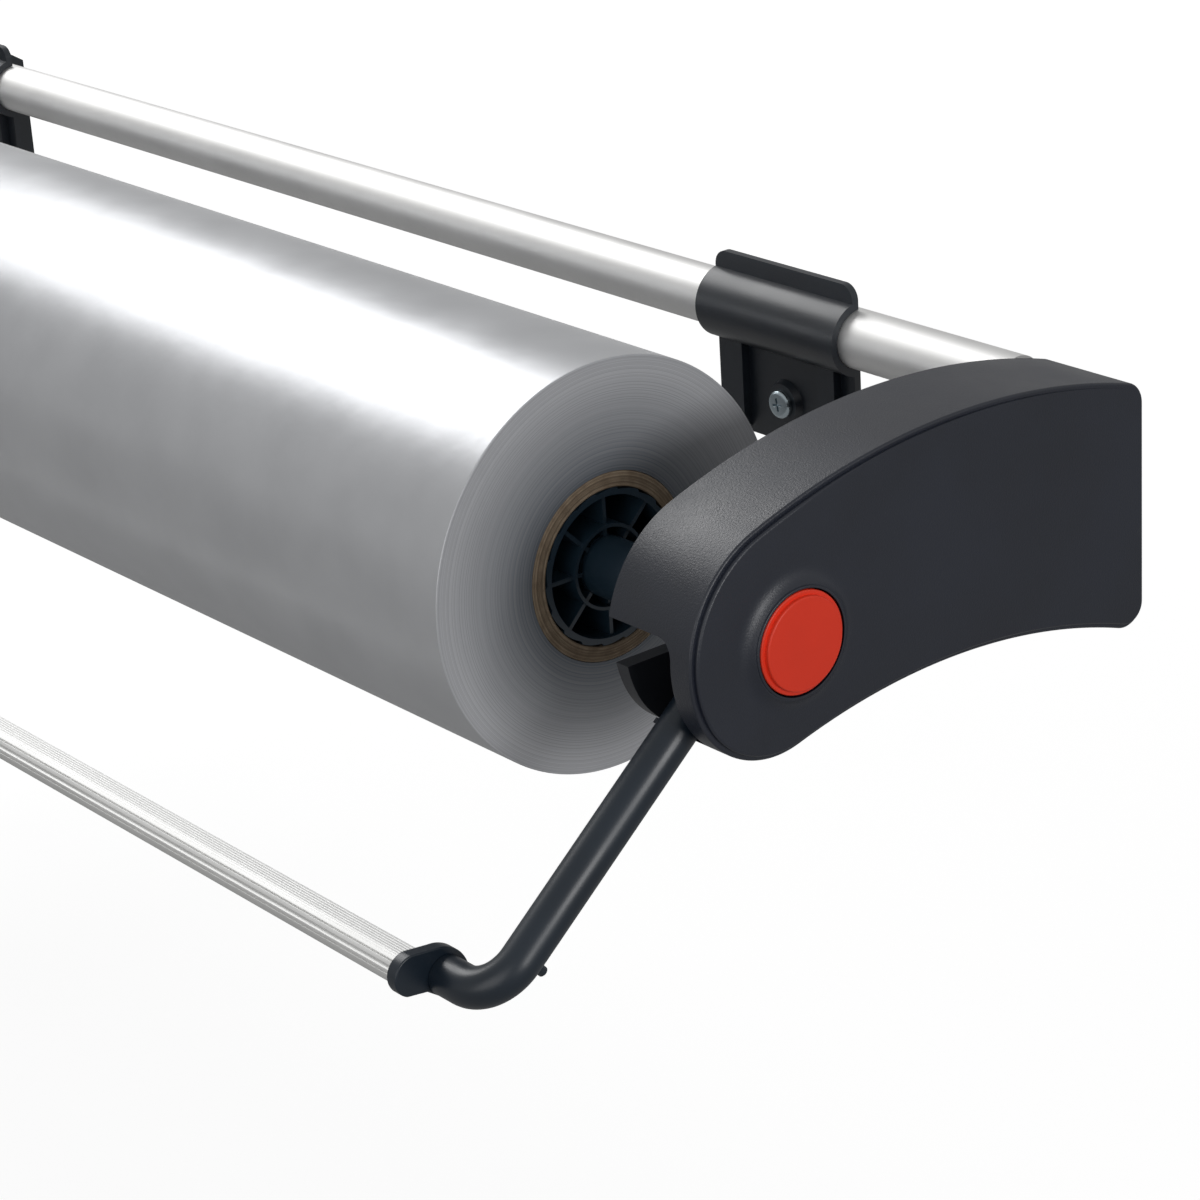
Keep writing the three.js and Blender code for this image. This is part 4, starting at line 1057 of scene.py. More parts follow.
def inner_plate():
    body = prism(cover_outline(COVER_WALL + PLATE_CLEARANCE), COVER_START, PLATE_END)
    cover_rim = cut(
        prism(cover_outline(0), COVER_START, COVER_END),
        prism(cover_outline(COVER_WALL + PLATE_CLEARANCE), COVER_START - OVERRUN, COVER_END + OVERRUN),
    )
    spigot = cut(
        prism(circle(TUBE_RADIUS - TUBE_WALL - GAP, ROUND_STEPS, (TUBE_Y, TUBE_Z)),
              COVER_START - SPIGOT_LENGTH, PLATE_END),
        cover_rim,
    )
    rail_top = -SLOT_HALF - GAP
    rails = [
        prism(points, PLATE_END - GAP, LATCH_END) for points in (
            rectangle(-LATCH_FRONT - GAP - RAIL_WIDTH, -LATCH_FRONT - GAP, -RAIL_BELOW, rail_top),
            rectangle(LATCH_BACK + GAP, LATCH_BACK + GAP + RAIL_WIDTH, -RAIL_BELOW, rail_top),
        )
    ]
    slot = prism([
        (-NOSE_RADIUS - OVERRUN, NOTCH_TOP + GAP), (-NOSE_RADIUS - OVERRUN, -SLOT_HALF),
        *arc((0, 0), SLOT_HALF, -90, 90, SMALL_STEPS),
        (-BUSH_ARM - GAP, SLOT_HALF), (-SLOT_FLARE, NOTCH_TOP + GAP),
    ], COVER_START - OVERRUN, PLATE_END + OVERRUN)
    holes = [
        prism(circle(COVER_SCREW + GAP, SMALL_STEPS, place), COVER_START - OVERRUN, PLATE_END + OVERRUN)
        for place in cover_screw_places()
    ]
    tube_hole = rod(TUBE_SCREW + GAP, -TUBE_RADIUS - OVERRUN, TUBE_SCREW_BITE - TUBE_RADIUS + GAP,
                    SMALL_STEPS, ALONG_Z)
    moved(tube_hole, (COVER_START - SPIGOT_LENGTH / 2, TUBE_Y, TUBE_Z))
    return cut(joined(body, spigot, *rails), slot, tube_hole, *holes)


def axle_bush():
    outer = SLOT_HALF - GAP
    inner = outer - BUSH_WALL
    return prism([
        (-BUSH_ARM, -outer),
        *arc((0, 0), outer, -90, 90, SMALL_STEPS),
        (-BUSH_ARM, outer), (-BUSH_ARM, inner),
        *arc((0, 0), inner, 90, -90, SMALL_STEPS),
        (-BUSH_ARM, -inner),
    ], COVER_START, PLATE_END)


def axle_latch():
    nose_top = BUTTON_TRAVEL - SLOT_HALF
    nose_back = -AXLE_RADIUS - LATCH_AXLE_GAP
    plate = prism([
        (-LATCH_FRONT, -SLOT_HALF), (nose_back - LATCH_NOSE_FLAT, nose_top), (nose_back, nose_top),
        (nose_back, -SLOT_HALF), (LATCH_BACK, -SLOT_HALF), (LATCH_BACK, -LATCH_DEPTH),
        (-LATCH_FRONT, -LATCH_DEPTH),
    ], LATCH_START, LATCH_END)
    low = -SLOT_HALF - TAB_FOOT
    outer = TAB_START + TAB_POST
    top = TAB_RISE - SHANK_CUT - GAP
    tab = prism([
        (LATCH_END - GAP, low), (outer, low), (outer, -SHANK_CUT - GAP), (outer - TAB_RISE, top),
        (TAB_START - TAB_RISE, top), (TAB_START, -SHANK_CUT - GAP), (TAB_START, -SLOT_HALF),
        (LATCH_END - GAP, -SLOT_HALF),
    ], -TAB_HALF, TAB_HALF, ALONG_Y)
    return joined(plate, tab)


# Button, spring and retaining ring

def release_button():
    disc_top = COLLAR_U + BUTTON_DISC
    body = turned([
        (0, SHANK_TIP), (SHANK_RADIUS, SHANK_TIP), (SHANK_RADIUS, HEAD_UNDER),
        (BUTTON_RADIUS, HEAD_UNDER),
        *arc((BUTTON_RADIUS - BUTTON_ROUND, COLLAR_U - BUTTON_ROUND), BUTTON_ROUND, 0, 90, LIP_STEPS),
        (BUTTON_DISC_RADIUS, COLLAR_U),
        *arc((BUTTON_DISC_RADIUS - BUTTON_ROUND, disc_top - BUTTON_ROUND), BUTTON_ROUND, 0, 90, LIP_STEPS),
        (0, disc_top),
    ])
    cut_end = TAB_START + TAB_POST + BUTTON_TRAVEL + GAP
    relief = prism(rectangle(SHANK_TIP - OVERRUN, cut_end, -SHANK_RADIUS - OVERRUN, -SHANK_CUT),
                   -SHANK_RADIUS - OVERRUN, SHANK_RADIUS + OVERRUN, ALONG_Y)
    rise = SHANK_RADIUS + OVERRUN
    foot = -SHANK_CUT - GAP
    lean = rise - foot
    cam_slot = prism([
        (TAB_START - CAM_SLACK, foot), (TAB_START + TAB_POST + CAM_SLACK, foot),
        (TAB_START + TAB_POST + CAM_SLACK - lean, rise), (TAB_START - CAM_SLACK - lean, rise),
    ], -TAB_HALF - GAP, TAB_HALF + GAP, ALONG_Y)
    return cut(body, relief, cam_slot)


def button_spring():
    half = SPRING_WIRE / 2
    seed = rod(half, 0, half, WIRE_STEPS)
    return COIL.run(
        seed, Turns=float(SPRING_TURNS), Coil_Radius=float(SPRING_RADIUS), Wire_Radius=half,
        Length=SPRING_END - SPRING_START, Start=SPRING_START, Material=LOOKS["spring_steel"],
    )


def arm_retainer():
    inner = BOSS_RADIUS - GROOVE_DEPTH + GAP
    half = RETAINER_OPENING_DEGREES / 2
    return prism([
        *arc((0, 0), RETAINER_RADIUS, half, 360 - half, ROUND_STEPS),
        *arc((0, 0), inner, 360 - half, half, ROUND_STEPS),
    ], RETAINER_START, RETAINER_END)


# Arm with its peg

def bent_tube(start, corner, end, bend, radius, steps=20):
    """A round bar along two straight runs with a round bend between them."""
    into = (corner - start).normalized()
    out = (end - corner).normalized()
    centre = corner - into * bend + out * bend
    stations = [(start, into)]
    for i in range(steps + 1):
        turn = math.pi / 2 * i / steps
        stations.append((
            centre - out * bend * math.cos(turn) + into * bend * math.sin(turn),
            into * math.cos(turn) + out * math.sin(turn),
        ))
    stations.append((end, out))
    across = into.cross(out).normalized()
    vertices = []
    for place, direction in stations:
        other = direction.cross(across)
        vertices += [place + (across * a + other * b) * radius for a, b in circle(1, SMALL_STEPS)]
    faces = [tuple(range(SMALL_STEPS)), tuple(range(len(vertices) - SMALL_STEPS, len(vertices)))]
    for level in range(len(stations) - 1):
        low = level * SMALL_STEPS
        for i in range(SMALL_STEPS):
            after = (i + 1) % SMALL_STEPS
            faces.append((low + i, low + after, low + after + SMALL_STEPS, low + i + SMALL_STEPS))
    return solid(vertices, faces)


def stop_peg(clearance):
    reach = ARM_REACH - ARM_BEND - PEG_FROM_BEND
    start = ARM_RADIUS - PEG_IN - clearance
    end = ARM_RADIUS + PEG_OUT + clearance
    radius = PEG_RADIUS + clearance
    chamfer = 0 if clearance else PEG_CHAMFER
    peg = turned([(0, start), (radius, start), (radius, end - chamfer), (radius - chamfer, end), (0, end)],
                 SMALL_STEPS, ALONG_Z)
    below = Vector((0, *ARM_BELOW))
    turn = Vector((0, 0, 1)).rotation_difference(below).to_matrix().to_4x4()
    return moved(peg, (ARM_U, ARM_DIRECTION[0] * reach, ARM_DIRECTION[1] * reach), turn)


def cutter_arm():
    hub_inner = BOSS_RADIUS + GAP
    along = Vector((0, *ARM_DIRECTION))
    root = Vector((ARM_U, 0, 0))
    corner = root + along * ARM_REACH
    tube = bent_tube(root + along * hub_inner, corner, corner + Vector((CAP_END + GAP - ARM_U, 0, 0)),
                     ARM_BEND, ARM_RADIUS)
    spigot = moved(rod(ARM_SPIGOT_RADIUS, CAP_END - ARM_SPIGOT, CAP_END + 2 * GAP, SMALL_STEPS),
                   (0, BAR_Y, BAR_Z))
    hub = ring(hub_inner - GAP, HUB_RING_RADIUS, HUB_START, HUB_END)
    return cut(joined(tube, spigot, hub), rod(hub_inner, HUB_START - OVERRUN, HUB_END + OVERRUN),
               stop_peg(GAP))


# End cap, cutter bar and blade

def cap_outline():
    return [
        (CAP_FOOT_Y, CAP_FOOT_Z),
        *arc((CAP_BACK_Y, CAP_BACK_Z), CAP_BACK_RADIUS, CAP_BACK_FROM_DEGREES, CAP_BACK_TO_DEGREES,
             CAP_BACK_STEPS),
        *arc((BEAK_Y, BEAK_Z), BEAK_RADIUS - CAP_TRIM, 90, CAP_BEAK_TO_DEGREES, CAP_BEAK_STEPS),
        (CAP_NOTCH_Y, CAP_NOTCH_Z),
    ]


def end_cap():
    body = prism(cap_outline(), CAP_START + GAP, CAP_END)
    peg = rod(CHAMBER_RADIUS - GAP, CAP_START + GAP - CAP_PEG_LENGTH, CAP_START + CAP_ROUND, SMALL_STEPS)
    moved(peg, (0, BEAK_Y + CHAMBER_SHIFT, BEAK_Z))
    socket = rod(ARM_SPIGOT_RADIUS + GAP, CAP_END - ARM_SPIGOT - GAP, CAP_END + OVERRUN, SMALL_STEPS)
    return moved(cut(joined(body, peg), socket), (0, BAR_Y, BAR_Z))


def flute_at(degrees):
    """Depth of the flutes on the bar's nose at a turn about the nose's centre."""
    for start, end in FLUTE_DEGREES:
        if start < degrees < end:
            return FLUTE_DEPTH * math.sin(math.pi * (degrees - start) / (end - start))
    return 0


def blade_direction():
    turn = math.radians(BLADE_DEGREES)
    return math.cos(turn), math.sin(turn)


def bar_section():
    """Section of the extrusion: grooved top, fluted nose, and the leg that holds the blade."""
    radius = BEAK_RADIUS - BAR_INSET
    top = BEAK_Z + radius
    points = [(BAR_BACK_Y, BAR_BACK_Z), (BEAK_Y + BAR_TOP_LENGTH, top)]

    def height(y):
        return top if y > BEAK_Y else BEAK_Z + math.sqrt(radius ** 2 - (y - BEAK_Y) ** 2)

    for i in range(GROOVE_COUNT):
        centre = BEAK_Y + BAR_TOP_LENGTH - (i + 1) * GROOVE_PITCH
        for share in GROOVE_SHARES:
            y = centre + share * GROOVE_PITCH / 4
            points.append((y, height(y) - BAR_GROOVE_DEPTH * math.cos(share * math.pi / 2)))
    for degrees in range(NOSE_FROM_DEGREES, NOSE_TO_DEGREES + 1, NOSE_STEP_DEGREES):
        reach = radius - flute_at(degrees)
        turn = math.radians(degrees)
        points.append((BEAK_Y + reach * math.cos(turn), BEAK_Z + reach * math.sin(turn)))
    along_y, along_z = blade_direction()
    across_y, across_z = -along_z * LEG_WIDTH / 2, along_y * LEG_WIDTH / 2
    points += [
        (CAP_NOTCH_Y + BAR_INSET, CAP_NOTCH_Z + BAR_INSET),
        (LEG_TIP_Y - across_y, LEG_TIP_Z - across_z), (LEG_TIP_Y + across_y, LEG_TIP_Z + across_z),
    ]
    return points


def cutter_bar():
    half = HALF_ROLL + CAP_START
    body = prism(bar_section(), -half, half)
    chamber = prism(circle(CHAMBER_RADIUS, SMALL_STEPS, (BEAK_Y + CHAMBER_SHIFT, BEAK_Z)),
                    -half - OVERRUN, half + OVERRUN)
    along_y, along_z = blade_direction()
    across = BLADE_THICKNESS / 2 + GAP
    deep = -BLADE_INSIDE - GAP
    slot = prism([
        (LEG_TIP_Y + along_y * reach - along_z * offset, LEG_TIP_Z + along_z * reach + along_y * offset)
        for reach, offset in ((deep, -across), (OVERRUN, -across), (OVERRUN, across), (deep, across))
    ], -half - OVERRUN, half + OVERRUN)
    return moved(cut(body, chamber, slot), (0, BAR_Y, BAR_Z))


def saw_blade():
    """A strip with its teeth out of the bar's leg, drawn in x and along the blade."""
    half = HALF_ROLL + CAP_START - GAP
    valley = BLADE_OUTSIDE - TOOTH_DEPTH
    count = int(2 * half / TOOTH_PITCH)
    half_thickness = BLADE_THICKNESS / 2
    tooth = prism([(0, valley - GAP), (TOOTH_PITCH, valley - GAP), (TOOTH_PITCH, valley),
                   (TOOTH_PITCH / 2, BLADE_OUTSIDE), (0, valley)],
                  -half_thickness, half_thickness, ALONG_Z)
    teeth = moved(ALONG_BAR.run(tooth, Count=count, Pitch=float(TOOTH_PITCH), Material=LOOKS["blade_steel"]),
                  (-count * TOOTH_PITCH / 2, 0, 0))
    strip = prism(rectangle(-half, half, -BLADE_INSIDE, valley - GAP), -half_thickness, half_thickness,
                  ALONG_Z)
    teeth.data.materials.clear()
    blade = shown("solid", bpy.data.meshes.new("solid"))
    merged = bmesh.new()
    merged.from_mesh(teeth.data)
    merged.from_mesh(strip.data)
    merged.to_mesh(blade.data)
    merged.free()
    bpy.data.objects.remove(teeth)
    bpy.data.objects.remove(strip)
    down = Vector((0, *blade_direction()))
    square = Vector((1, 0, 0)).cross(down)
    lay = Matrix((Vector((1, 0, 0)), down, square)).transposed().to_4x4()
    return moved(blade, (0, BAR_Y + LEG_TIP_Y, BAR_Z + LEG_TIP_Z), lay)


# Roll, core, plugs and axle

def mirrored(profile):
    """A profile of the right-hand half, with the left-hand half after it."""
    return profile + [(r, -u) for r, u in reversed(profile)]


def film_roll():
    """The wound roll: its ends step in and out a little from turn to turn."""
    inner = CORE_OUTER + GAP
    end = []
    for i in range(WOUND_STEPS + 1):
        radius = inner + (ROLL_RADIUS - ROLL_EDGE - inner) * i / WOUND_STEPS
        dip = WOUND_STEP_DEPTH * (1 + math.sin(i * i * WOUND_WAVE + i)) / 2
        end.append((radius, HALF_ROLL - dip))
    end += arc((ROLL_RADIUS - ROLL_EDGE, HALF_ROLL - ROLL_EDGE), ROLL_EDGE, ROLL_EDGE_DEGREES, 0, 4)
    return turned(mirrored(end), ROLL_STEPS, closed=True)


def cardboard_core():
    """The core's plies, each a little in or out at the end."""
    end = []
    for i in range(CORE_PLIES):
        inner = CORE_BORE + (CORE_OUTER - CORE_BORE) * i / CORE_PLIES
        outer = CORE_BORE + (CORE_OUTER - CORE_BORE) * (i + 1) / CORE_PLIES
        face = HALF_ROLL - CORE_PLY_STEP * ((i * 2) % 3)
        end += [(inner, face), (outer - CORE_PLY_SEAM, face)]
    end[-1] = (CORE_OUTER, end[-1][1])
    return turned(mirrored(end), ROLL_STEPS, closed=True)


def crown_outline():
    """The plug's toothed crown: each tooth swells slowly and drops back at once."""
    crown_radius = CORE_BORE - GAP
    step = 360 / CROWN_TEETH
    points = []
    for i in range(CROWN_TEETH):
        for share, depth in CROWN_TOOTH:
            points.append(arc((0, 0), crown_radius - CROWN_STEP * depth, (i + share) * step, 360, 1)[0])
    return points


def core_plug():
    crown_radius = CORE_BORE - GAP
    inner = crown_radius - CROWN_STEP - CROWN_WALL
    back = -PLUG_DEPTH
    crown = cut(prism(crown_outline(), back, 0), rod(inner, back - OVERRUN, OVERRUN))
    rib = prism(rectangle(HUB_RADIUS - GAP, inner + GAP, -RIB_THICKNESS / 2, RIB_THICKNESS / 2), back,
                -RIB_SETBACK)
    ribs = AROUND_AXLE.run(rib, Count=PLUG_RIBS, Material=LOOKS["plug_plastic"])
    plug = joined(
        crown,
        ribs,
        ring(INNER_RING - INNER_RING_WALL, INNER_RING, back, 0),
        rod(HUB_RADIUS, back, -PLUG_RECESS),
        rod(inner + GAP, back, back + PLUG_WEB),
    )
    return cut(plug, rod(AXLE_RADIUS + GAP, back - OVERRUN, OVERRUN),
               rod(HUB_RADIUS + GAP, -PLUG_RECESS, OVERRUN))


def spacer_sleeve():
    return ring(AXLE_RADIUS + GAP, HUB_RADIUS, GAP - PLUG_RECESS, COVER_START - GAP)


def roll_axle():
    end = HALF_ROLL + AXLE_END
    return turned([
        (0, -end), (AXLE_RADIUS - AXLE_CHAMFER, -end), (AXLE_RADIUS, AXLE_CHAMFER - end),
        (AXLE_RADIUS, end - AXLE_CHAMFER), (AXLE_RADIUS - AXLE_CHAMFER, end), (0, end),
    ], SMALL_STEPS)


def carrier_tube():
    half = HALF_ROLL + COVER_START - GAP
    tube = moved(ring(TUBE_RADIUS - TUBE_WALL, TUBE_RADIUS, -half, half), (0, TUBE_Y, TUBE_Z))
    holes = [
        moved(rod(TUBE_SCREW + GAP, -TUBE_RADIUS - OVERRUN, 0, SMALL_STEPS, ALONG_Z),
              (side * (HALF_ROLL + COVER_START - SPIGOT_LENGTH / 2), TUBE_Y, TUBE_Z))
        for side in SIDES.values()
    ]
    return cut(tube, *holes)


# Screws and the wall bracket

def cross_cuts(length, width, depth, top):
    """The two slots of a cross recess in a head whose top faces up its own axis."""
    return [
        prism(rectangle(-a / 2, a / 2, -b / 2, b / 2), top - depth, top + OVERRUN, ALONG_Z)
        for a, b in ((length, width), (width, length))
    ]


def pan_screw(radius, head_radius, rise, bite, cross):
    """A pan-head screw along its own z: shank below the seat at 0, domed head above it."""
    dome = rise * HEAD_ROUND
    crown = arc((head_radius - dome, rise - dome), dome, 0, HEAD_ROUND_DEGREES, HEAD_STEPS)
    profile = [(0, -bite), (radius, -bite), (radius, 0), (head_radius, 0), *crown, (0, rise)]
    return cut(turned(profile, SMALL_STEPS, ALONG_Z), *cross_cuts(*cross, rise))


def cover_screw():
    """Along the end frame's u, its head inboard of the plate."""
    bite = PLATE_THICKNESS + COVER_SCREW_BITE + GAP
    screw = pan_screw(COVER_SCREW, COVER_SCREW_HEAD, COVER_SCREW_RISE, bite, COVER_SCREW_CROSS)
    return moved(screw, (COVER_START - GAP, 0, 0), Matrix.Rotation(-math.pi / 2, 4, "Y"))


def tube_screw():
    screw = pan_screw(TUBE_SCREW, TUBE_SCREW_HEAD, TUBE_SCREW_RISE, TUBE_SCREW_BITE, TUBE_SCREW_CROSS)
    return moved(screw, (COVER_START - SPIGOT_LENGTH / 2, TUBE_Y, TUBE_Z - TUBE_RADIUS - GAP),
                 Matrix.Rotation(math.pi, 4, "X"))


def clamp_screw():
    seat = GAP + CLAMP_THICKNESS + SCREW_BOSS_HEIGHT
    bite = seat + WALL_BEHIND_TUBE - NUT_INSET - GAP
    screw = pan_screw(CLAMP_SCREW, CLAMP_SCREW_HEAD, CLAMP_SCREW_RISE, bite, CLAMP_SCREW_CROSS)
    cross_turn = Matrix.Rotation(math.radians(CLAMP_SCREW_DEGREES), 4, "Z")
    turn = Matrix.Rotation(math.pi / 2, 4, "X") @ cross_turn
    return moved(screw, (0, -seat, -SCREW_DOWN), turn)


def clamp_profile():
    """The plate's section in y-z: flat flanges and a half-round over the tube."""
    back = -GAP
    front = back - CLAMP_THICKNESS
    inner = TUBE_RADIUS + GAP
    outer = inner + CLAMP_THICKNESS
    outer_turn = math.degrees(math.acos(front / outer))
    inner_turn = math.degrees(math.acos(back / inner))
    return [
        (back, CLAMP_UP), (front, CLAMP_UP),
        *arc((0, 0), outer, outer_turn, 360 - outer_turn, SMALL_STEPS),
        (front, -CLAMP_DOWN), (back, -CLAMP_DOWN),
        *arc((0, 0), inner, 360 - inner_turn, inner_turn, SMALL_STEPS),
    ]


def clamp_plate():
    half = CLAMP_WIDTH / 2
    back = -GAP
    front = back - CLAMP_THICKNESS
    outer = TUBE_RADIUS + GAP + CLAMP_THICKNESS
    body = common(
        prism(clamp_profile(), -half, half),
        prism(rounded_rectangle(-half, half, -CLAMP_DOWN, CLAMP_UP, CLAMP_CORNER), -outer - OVERRUN, OVERRUN,
              ALONG_Y),
    )
    band_top = BAND_FOOT - TUBE_RADIUS
    band = [
        (back - GAP, band_top), (front - BAND_HEIGHT, band_top),
        (front - BAND_HEIGHT, BAND_FOOT + BAND_HEIGHT - CLAMP_DOWN), (front, BAND_FOOT - CLAMP_DOWN),
        (back - GAP, BAND_FOOT - CLAMP_DOWN),
    ]
    bands = [prism(band, low, high) for low, high in ((BAND_FROM, BAND_TO), (-BAND_TO, -BAND_FROM))]
    boss = turned([
        (0, 0), (SCREW_BOSS_RADIUS, 0), (SCREW_BOSS_RADIUS - SCREW_BOSS_HEIGHT / 2, SCREW_BOSS_HEIGHT),
        (0, SCREW_BOSS_HEIGHT),
    ], ROUND_STEPS, ALONG_Z)
    moved(boss, (0, front + GAP, -SCREW_DOWN), Matrix.Rotation(math.pi / 2, 4, "X"))
    bore = rod(TUBE_RADIUS + GAP, -half - OVERRUN, half + OVERRUN)
    return cut(joined(body, *bands, boss), bore,
               screw_hole(CLAMP_SCREW + GAP, front - SCREW_BOSS_HEIGHT - OVERRUN, OVERRUN))


def screw_hole(radius, start, end):
    return prism(circle(radius, SMALL_STEPS, (0, -SCREW_DOWN)), start, end, ALONG_Y)


def hexagon(flats):
    return circle(flats / 2 / math.cos(math.pi / 6), 6)


def wall_block():
    body = prism([
        (0, -CLAMP_DOWN), (WALL_BEHIND_TUBE, -CLAMP_DOWN), (WALL_BEHIND_TUBE, BLOCK_BACK_UP),
        (0, BLOCK_FRONT_UP),
    ], -BLOCK_HALF, BLOCK_HALF)
    half = BLOCK_HALF - BLOCK_WALL
    pocket = prism(rounded_rectangle(-half, half, -POCKET_DOWN, -POCKET_UP, POCKET_CORNER),
                   WALL_BEHIND_TUBE - POCKET_DEPTH, WALL_BEHIND_TUBE + OVERRUN, ALONG_Y)
    pocket = cut(pocket, screw_hole(BLOCK_BOSS, 0, WALL_BEHIND_TUBE + 2 * OVERRUN))
    nut_space = moved(
        prism(hexagon(NUT_FLATS + 2 * GAP), WALL_BEHIND_TUBE - NUT_INSET - NUT_HEIGHT - GAP,
              WALL_BEHIND_TUBE + OVERRUN, ALONG_Y),
        (0, 0, -SCREW_DOWN),
    )
    return cut(body, rod(TUBE_RADIUS + GAP, -CLAMP_WIDTH, CLAMP_WIDTH), pocket, nut_space,
               screw_hole(CLAMP_SCREW + GAP, -OVERRUN, WALL_BEHIND_TUBE),
               wall_hole(0, TUBE_RADIUS + 2 * GAP), wall_hole(-WALL_HOLE_DOWN, 0))


def wall_hole(height, rim):
    """A countersunk hole for a wall screw, with the rim of its countersink at a place along y."""
    return moved(turned([
        (0, -OVERRUN), (WALL_HOLE_RADIUS + WALL_HOLE_SINK, -OVERRUN),
        (WALL_HOLE_RADIUS + WALL_HOLE_SINK, rim), (WALL_HOLE_RADIUS, rim + WALL_HOLE_SINK),
        (WALL_HOLE_RADIUS, WALL_BEHIND_TUBE + OVERRUN), (0, WALL_BEHIND_TUBE + OVERRUN),
    ], SMALL_STEPS, ALONG_Y), (0, 0, height))


def clamp_nut():
    back = WALL_BEHIND_TUBE - NUT_INSET
    nut = moved(prism(hexagon(NUT_FLATS), back - NUT_HEIGHT, back, ALONG_Y), (0, 0, -SCREW_DOWN))
    return cut(nut, screw_hole(CLAMP_SCREW + GAP, 0, WALL_BEHIND_TUBE + OVERRUN))


# The pieces of the object

both_ends("side_cover", side_cover(), "cover_plastic", "frame")
both_ends("inner_plate", inner_plate(), "inner_plastic", "frame", bevel=0.4)
both_ends("axle_bush", axle_bush(), "nylon", "frame", bevel=0.15)
both_ends("axle_latch", axle_latch(), "nylon", "latch_{side}", bevel=0.25)
both_ends("release_button", release_button(), "red_plastic", "button_{side}")
both_ends("button_spring", button_spring(), "spring_steel", "frame button_{side}", smooth_degrees=50,
          span=(SPRING_START, SPRING_END))
both_ends("arm_retainer", arm_retainer(), "spring_steel", "frame", bevel=0.2)
both_ends("cutter_arm", cutter_arm(), "arm_plastic", "cutter", bevel=0.3)
both_ends("stop_peg", stop_peg(0), "arm_plastic", "cutter")
both_ends("end_cap", end_cap(), "arm_plastic", "cutter", bevel=CAP_ROUND)
both_ends("core_plug", core_plug(), "plug_plastic", "roll", bevel=0.25)
both_ends("spacer_sleeve", spacer_sleeve(), "plug_plastic", "roll", bevel=0.5)
both_ends("tube_screw", tube_screw(), "zinc_steel", "frame")
for number, (screw_y, screw_z) in enumerate(cover_screw_places(), 1):
    both_ends(f"cover_screw_{number}", moved(cover_screw(), (0, screw_y, screw_z)), "zinc_steel", "frame")

both_ends("clamp_plate", clamp_plate(), "bracket_plastic", "frame", place=at_bracket, bevel=0.7)
both_ends("wall_block", wall_block(), "bracket_plastic", "frame", place=at_bracket, bevel=0.5)
both_ends("clamp_screw", clamp_screw(), "zinc_steel", "frame", place=at_bracket, bevel=0.12)
both_ends("clamp_nut", clamp_nut(), "zinc_steel", "frame", place=at_bracket, bevel=0.3)

finished("carrier_tube", carrier_tube(), at_middle(), "anodised_aluminium", "frame", bevel=0.3)
finished("roll_axle", roll_axle(), at_middle(), "zinc_steel", "roll")
finished("cardboard_core", cardboard_core(), at_middle(), "cardboard", "roll", bevel=0.08)
finished("paper_roll", film_roll(), at_middle(), "silver_film", "roll")
finished("cutter_bar", cutter_bar(), at_middle(), "anodised_aluminium", "cutter", bevel=0.15,
         look="matt_aluminium")
finished("saw_blade", saw_blade(), at_middle(), "blade_steel", "cutter")
for leftover in [thing for thing in bpy.data.objects if thing.name.startswith("solid")]:
    bpy.data.objects.remove(leftover)


# Camera: the photograph's viewpoint, with its picture taken as 1200 by 1200

PICTURE = 1200
FOCAL_PIXELS = 3496.39
SENSOR = 36
CAMERA_PLACE = Vector((1.67556, -1.14775, 0.56207))
CAMERA_AZIMUTH = math.radians(52.045)
CAMERA_ELEVATION = math.radians(22.231)
CAMERA_ROLL = math.radians(3.654)


def photograph_camera():
    forward = Vector((
        -math.sin(CAMERA_AZIMUTH) * math.cos(CAMERA_ELEVATION),
        math.cos(CAMERA_AZIMUTH) * math.cos(CAMERA_ELEVATION),
        -math.sin(CAMERA_ELEVATION),
    ))
    level = Vector((math.cos(CAMERA_AZIMUTH), math.sin(CAMERA_AZIMUTH), 0))
    down = forward.cross(level)
    right = level * math.cos(CAMERA_ROLL) + down * math.sin(CAMERA_ROLL)
    below = down * math.cos(CAMERA_ROLL) - level * math.sin(CAMERA_ROLL)
    lens = having(bpy.data.cameras.new("photograph"), sensor_width=SENSOR,
                  lens=FOCAL_PIXELS / PICTURE * SENSOR, clip_start=0.05, clip_end=50)
    camera = shown("photograph", lens)
    turn = Matrix((right, -below, -forward)).transposed()
    camera.matrix_world = Matrix.Translation(CAMERA_PLACE) @ turn.to_4x4()
    bpy.context.scene.camera = camera


# Studio: white surroundings, a long soft light above and to the left, a smaller one at the right

FLOOR_DROP = 0.35
FLOOR_SIZE = 14
FLOOR_WHITE_NEAR = 0.87
FLOOR_WHITE_FAR = 0.98
WHITE_FROM = 0.7
WHITE_TO = 3.0
ROOM_LIGHT = 0.3
SHOWN_IN_GLOSS = 0.2
FLOOR_GREY = (0.18, 0.18, 0.18, 1)
FLOOR_ROUGHNESS = (0.85, 0.95)
FLOOR_CLOUDS = 3
BLACK = (0, 0, 0, 1)
WHITE = (1, 1, 1, 1)


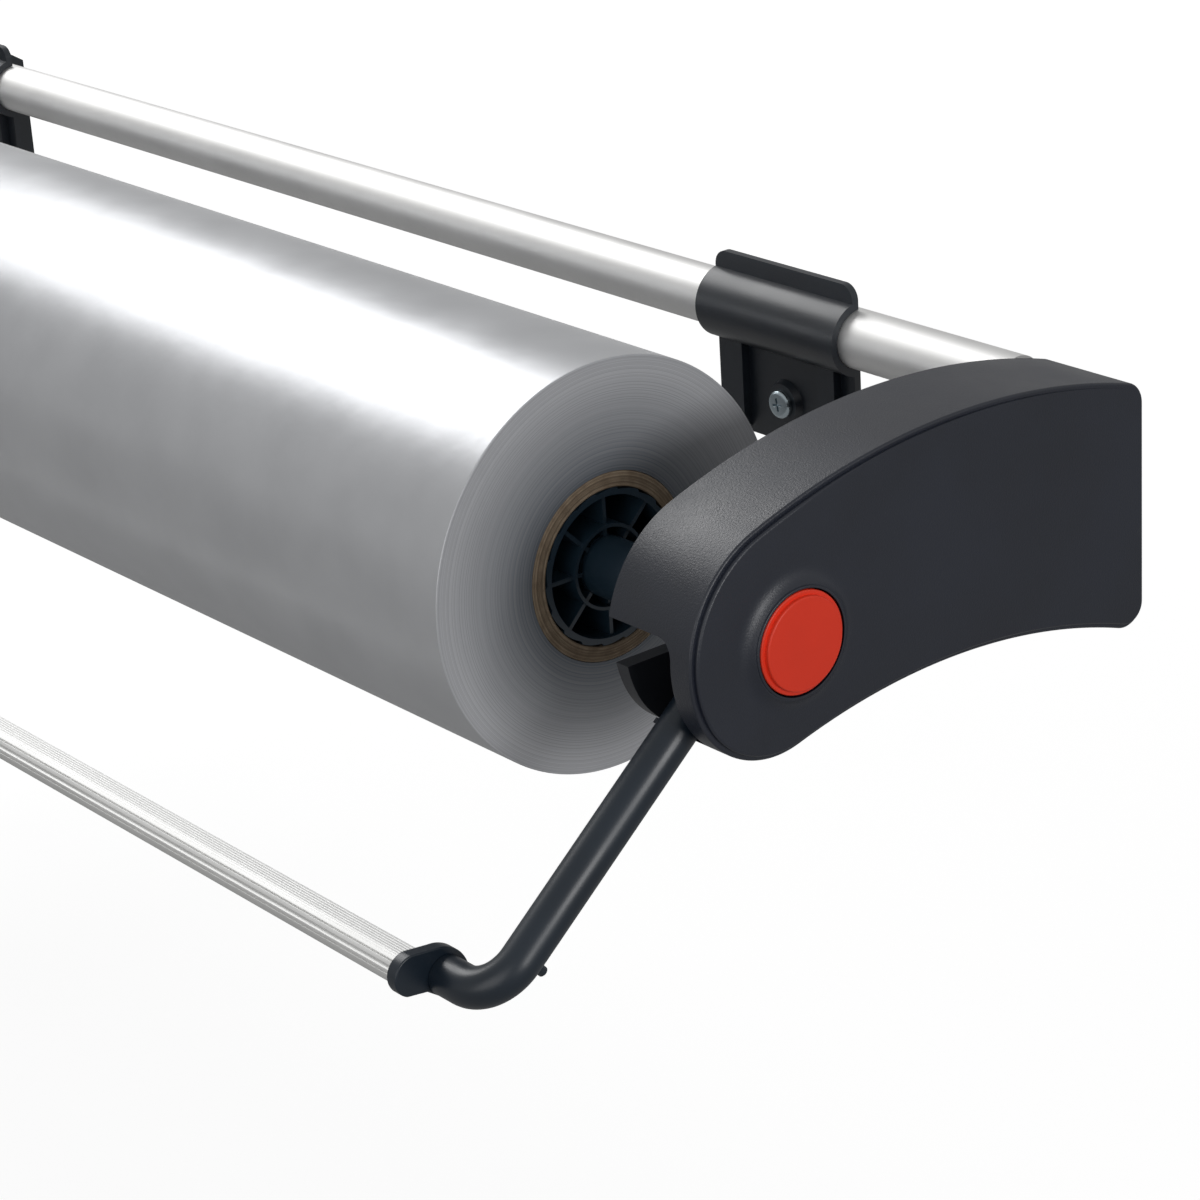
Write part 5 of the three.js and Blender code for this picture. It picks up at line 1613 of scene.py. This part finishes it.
def seen_share(tree):
    """How much of the white surroundings shows: all of it to the camera, a part of it in gloss and glass."""
    path = fed(tree, "ShaderNodeLightPath")
    bounced = fed(tree, "ShaderNodeMath", {0: path["Is Glossy Ray"], 1: path["Is Transmission Ray"]},
                  operation="ADD")["Value"]
    return fed(tree, "ShaderNodeMath", {0: bounced, 1: SHOWN_IN_GLOSS, 2: path["Is Camera Ray"]},
               operation="MULTIPLY_ADD", use_clamp=True)["Value"]


def white_floor():
    """A pale floor that keeps the shadow; it looks white to the camera, also far away from the lamps."""
    mesh = bpy.data.meshes.new("studio_floor")
    half = FLOOR_SIZE / 2
    corners = rectangle(-half, half, -half, half)
    mesh.from_pydata([(x, y, cad_low.z - FLOOR_DROP) for x, y in corners], [], [(0, 1, 2, 3)])
    material, tree, principled = shader("floor")
    place = fed(tree, "ShaderNodeTexCoord")["Object"]
    away = fed(tree, "ShaderNodeVectorMath", {0: place}, operation="LENGTH")["Value"]
    white = ranged(tree, away, WHITE_FROM, WHITE_TO, FLOOR_WHITE_NEAR, FLOOR_WHITE_FAR)
    clouds = fed(tree, "ShaderNodeTexNoise", {"Scale": FLOOR_CLOUDS})["Fac"]
    feed(tree, principled, {
        "Base Color": FLOOR_GREY, "Roughness": ranged(tree, clouds, 0, 1, *FLOOR_ROUGHNESS),
        "Emission Color": between(tree, seen_share(tree), BLACK, white), "Emission Strength": 1,
    })
    mesh.materials.append(material)
    floor = shown("studio_floor", mesh)


def studio_world():
    world = bpy.data.worlds.new("studio")
    bpy.context.scene.world = world
    world.use_nodes = True
    tree = world.node_tree
    feed(tree, tree.nodes["Background"], {
        "Color": WHITE, "Strength": ranged(tree, seen_share(tree), 0, 1, ROOM_LIGHT, 1),
    })


def soft_light(name, place, target, width, height, watts):
    lamp = having(bpy.data.lights.new(name, "AREA"), shape="RECTANGLE", size=width, size_y=height,
                  energy=watts)
    aim = (Vector(target) - Vector(place)).to_track_quat("-Z", "Y")
    having(shown(name, lamp), location=place, rotation_euler=aim.to_euler())


photograph_camera()
white_floor()
studio_world()
soft_light("key", (-1.375, -0.12, 1.4), (0.275, -0.2, 0), 1.5, 0.9, 20)
soft_light("side", (2.5, -0.3, 0.5), (0.5, -0.2, 0), 0.8, 0.6, 12)
soft_light("front_fill", (1.0, -2.0, 0.3), (0.4, -0.2, -0.05), 1.4, 1.0, 5)

bpy.context.scene.view_settings.view_transform = "Standard"
